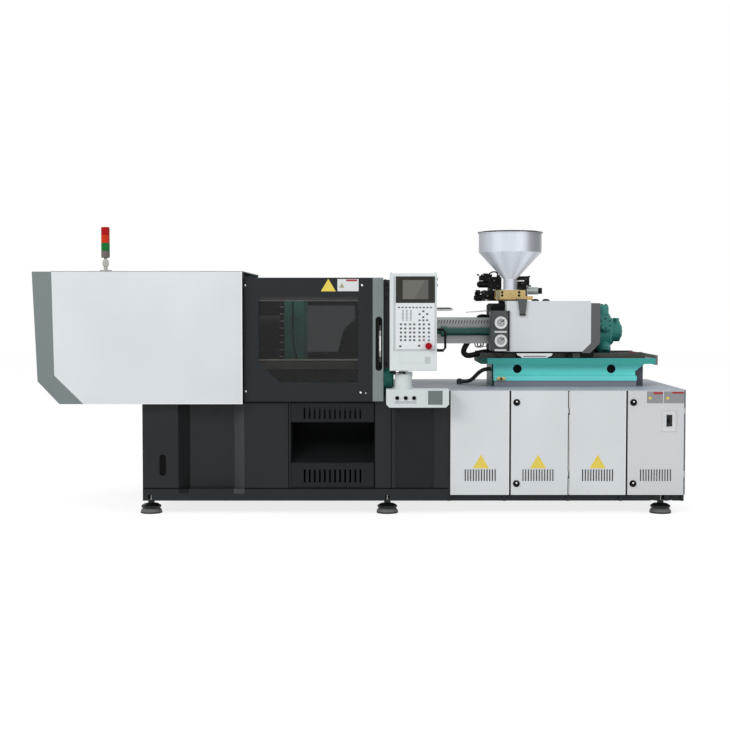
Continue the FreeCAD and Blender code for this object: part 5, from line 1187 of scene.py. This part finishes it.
valveTrim = {
    "screwRadius": 5, "screwRise": 3,
    "screws": ((914, 1495), (991, 1495), (914, 1573), (991, 1573), (876, 1425), (876, 1470), (1168, 1425),
               (1120, 1492), (1172, 1566), (1172, 1492)),
    "caps": ((948, 1556, 15, 14), (975, 1516, 11, 9), (926, 1518, 8, 7), (900, 1448, 17, 12),
             (1146, 1536, 14, 12), (1130, 1500, 9, 8), (1158, 1446, 12, 9)),
    "face": 105, "lowFace": 100, "lowTop": 1484,  # the lower block's front stands a little further forward
    "plugs": (((842, 880), (112, 150), (1556, 1592)), ((908, 934), (112, 150), (1580, 1602)),
              ((1178, 1200), (114, 150), (1524, 1580)), ((1186, 1214), (118, 146), (1496, 1524)),
              ((812, 836), (112, 150), (1452, 1476)), ((968, 990), (112, 150), (1582, 1597))),
    "bright": (((1106, 1160), (97, 105.5), (1549, 1560)), ((884, 906), (93, 100.5), (1414, 1421)),
               ((938, 958), (97, 105.5), (1487, 1493))),
    "stubs": (((834, 131, 1592), (834, 131, 1604), 8), ((862, 131, 1591), (862, 131, 1602), 7),
              ((1192, 131, 1579), (1204, 131, 1590), 6)),
}


def valveFace(z):
    return valveTrim["lowFace"] if z < valveTrim["lowTop"] else valveTrim["face"]


def makeValveTrim():
    shape = newShape()
    for x, z in valveTrim["screws"]:
        addScrew(shape, x, valveFace(z), z, valveTrim["screwRadius"], valveTrim["screwRise"], finish=1)
    for x, z, radius, rise in valveTrim["caps"]:
        face = valveFace(z)
        addRod(shape, (x, face + 0.4, z), (x, face - rise, z), radius, sides=18, round=1.5)
        addScrew(shape, x, face - rise, z, radius * 0.4, 2, finish=1)
    for x, y, z in valveTrim["plugs"]:
        addBlock(shape, x, y, z, round=3)
    for start, end, radius in valveTrim["stubs"]:
        addRod(shape, start, end, radius, sides=16, round=1)
    for x, y, z in valveTrim["bright"]:
        addBlock(shape, x, y, z, round=1.5, finish=2)
    finishPiece(shape, "valveTrim", "injection_carriage", "black_steel", "valveBlack", "trimGrey",
                "zincPlate")


makeValveTrim()

leads = (  # name, diameter, finish, route
    ("valveLeadHigh", 10, "hoseRubber",
     ((912, 135, 1556), (904, 135, 1566), (903, 134, 1590), (920, 133, 1612), (950, 133, 1622),
      (975, 134, 1612), (980, 135, 1584))),
    ("valveLeadLow", 10, "hoseRubber",
     ((846, 135, 1436), (843, 134, 1452), (852, 133, 1474), (880, 132, 1486), (906, 132, 1480),
      (922, 133, 1462), (926, 135, 1484))),
    ("heaterLeadOne", 8, "hoseRubber",
     ((797, -92, 1118), (797, -92, 1104), (806, -93, 1092), (824, -93, 1088), (836, -92, 1098),
      (838, -92, 1118))),
    ("heaterLeadTwo", 8, "hoseRubber",
     ((815, -84, 1118), (815, -84, 1100), (828, -85, 1090), (846, -85, 1090), (856, -84, 1102),
      (857, -84, 1118))),
    ("heaterLeadThree", 6, "leadPale",
     ((840, -94, 1118), (840, -94, 1104), (850, -95, 1094), (866, -95, 1092), (878, -94, 1102),
      (880, -94, 1118))),
    ("gaugeLead", 8, "hoseRubber",
     ((912, -306, 1072), (912, -308, 1058), (922, -309, 1040), (944, -309, 1030), (968, -309, 1034),
      (982, -308, 1050), (984, -306, 1072))),
)
for name, diameter, finishName, route in leads:
    addHose(name, "injection_carriage", finishName, route, diameter)
print("injection unit dressed")


# Injection bed

bedTrim = {
    "face": -235, "lines": {"x": (948, 1852), "z": (904, 957)}, "lineWidth": 2, "lineRise": 0.7,
    "plugs": (1078, 1724), "plugHeight": 945, "plugRadius": 29.6, "plugFace": -222,
    "stop": {"x": (1853, 1893), "y": (-237, -203), "z": (1054.5, 1064)},
    "stopScrew": {"x": (1897, 1940), "y": (-232, -208), "z": (1054.5, 1060)},
    "fitting": {"x": (932, 990), "y": (-300, -291.5), "z": (868, 892)},
    "apron": {"x": (914, 1888), "y": (-286, -282), "z": (824.5, 865.8)},
}


def makeBedTrim():
    # darker teal lines round the panel folds on the bed's web: painted shade in the folds
    shape = newShape()
    addFrame(shape, frontOutline(rectangle(**bedTrim["lines"]), bedTrim["face"] + 0.2),
             (0, -bedTrim["lineRise"], 0), bedTrim["lineWidth"])
    finishPiece(shape, "bedFold", "machine_base", "bed_teal", "bedFoldShade")
    shape = newShape()
    radius = bedTrim["plugRadius"]
    profile = [(0, -1), (radius - 5, -1), (radius - 3, 3), (radius - 0.6, 3), (radius, 2), (radius, -6),
               (0, -6)]
    for x in bedTrim["plugs"]:
        addTurned(shape, profile, (x, bedTrim["plugFace"], bedTrim["plugHeight"]), (0, -1, 0), sides=36)
    finishPiece(shape, "bedPlugs", "machine_base", "rubber", "blackPlastic")
    shape = newShape()
    addBlock(shape, **bedTrim["stop"], round=3)
    addBlock(shape, **bedTrim["stopScrew"], round=2, finish=1)
    finishPiece(shape, "railStop", "machine_base", "signal_red", "stopRed", "blackSteel")
    shape = newShape()
    fitting = bedTrim["fitting"]
    addBlock(shape, **fitting, round=3)
    addScrew(shape, sum(fitting["x"]) / 2, fitting["y"][0], sum(fitting["z"]) / 2, 9, 3, finish=1)
    finishPiece(shape, "brassFitting", "machine_base", "gold_anodised", "brass", "blackSteel")
    # a grey sheet under the bed's front edge, coloured as the top sheet in shade: painted shade
    shape = newShape()
    addBlock(shape, **bedTrim["apron"], round=1, steps=1)
    finishPiece(shape, "bedSkirt", "machine_base", "cover_grey", "skirtShadeGrey")


makeBedTrim()
print("bed dressed")


# Studio, in metres

studio = {
    "skyLight": 0.55, "floorSize": 60, "floorMatt": 0.85, "floorThin": 0.35, "floorGlow": 0.8,
    "keyLamp": {"place": (-5, -6.5, 5.5), "aim": (0, 0, 0.9), "size": (4, 3), "power": 270},
    "fillLamp": {"place": (6, -5, 3.5), "aim": (0.5, 0, 0.9), "size": (4, 3), "power": 75},
}
photoCamera = {"place": (0.029, -9.6525, 1.412), "tilt": 2.66, "lens": 68, "sensor": 36, "farthest": 200}


def makeLamp(name, place, aim, size, power):
    light = bpy.data.lights.new(name, "AREA")
    light.shape = "RECTANGLE"
    light.size, light.size_y = size
    light.energy = power
    lamp = bpy.data.objects.new(name, light)
    lamp.location = place
    lamp.rotation_euler = (Vector(aim) - Vector(place)).to_track_quat("-Z", "Y").to_euler()
    bpy.context.scene.collection.objects.link(lamp)


def seenShare(tree):
    # 1 for what the camera sees, in a reflection or through glass too
    path = put(tree, "LightPath")
    seen = reckon(tree, "MAXIMUM", path.outputs["Is Camera Ray"], path.outputs["Is Glossy Ray"])
    return reckon(tree, "MAXIMUM", seen, path.outputs["Is Transmission Ray"])


def makeSky():
    # plain white to look at, softer as a light
    world = bpy.data.worlds.new("studioSky")
    bpy.context.scene.world = world
    world.use_nodes = True
    tree = world.node_tree
    tree.nodes.clear()
    strength = blendValue(tree, seenShare(tree), studio["skyLight"], 1.0)
    sky = put(tree, "Background", {"Color": evenTone(1), "Strength": strength})
    output = put(tree, "OutputWorld")
    tree.links.new(sky.outputs[0], output.inputs[0])


def makeFloor():
    # matt to the lamps; what the camera sees of it glows nearly white and still takes a faint shadow
    shape = newShape()
    bmesh.ops.create_grid(shape, x_segments=8, y_segments=8, size=studio["floorSize"] / 2)
    mesh = bpy.data.meshes.new("studioFloor")
    shape.to_mesh(mesh)
    shape.free()
    floor = bpy.data.objects.new("studioFloor", mesh)
    bpy.context.scene.collection.objects.link(floor)
    finish = bpy.data.materials.new("studioFloor")
    finish.use_nodes = True
    tree = finish.node_tree
    tree.nodes.clear()
    matt = put(tree, "BsdfDiffuse", {"Color": evenTone(studio["floorMatt"])})
    thin = put(tree, "BsdfDiffuse", {"Color": evenTone(studio["floorThin"])})
    glow = put(tree, "Emission", {"Color": evenTone(1), "Strength": studio["floorGlow"]})
    shown = put(tree, "AddShader", {0: thin.outputs[0], 1: glow.outputs[0]})
    mixed = put(tree, "MixShader", {0: seenShare(tree), 1: matt.outputs[0], 2: shown.outputs[0]})
    output = put(tree, "OutputMaterial")
    tree.links.new(mixed.outputs[0], output.inputs[0])
    mesh.materials.append(finish)


def makeCamera():
    lens = bpy.data.cameras.new("photoCamera")
    lens.lens = photoCamera["lens"]
    lens.sensor_width = photoCamera["sensor"]
    lens.clip_end = photoCamera["farthest"]
    camera = bpy.data.objects.new("photoCamera", lens)
    camera.location = photoCamera["place"]
    camera.rotation_euler = (math.radians(90 - photoCamera["tilt"]), 0, 0)
    bpy.context.scene.collection.objects.link(camera)
    bpy.context.scene.camera = camera


makeSky()
makeFloor()
for lampName in ("keyLamp", "fillLamp"):
    makeLamp(lampName, **studio[lampName])
makeCamera()
bpy.context.scene.view_settings.view_transform = "Standard"
print("studio lit")
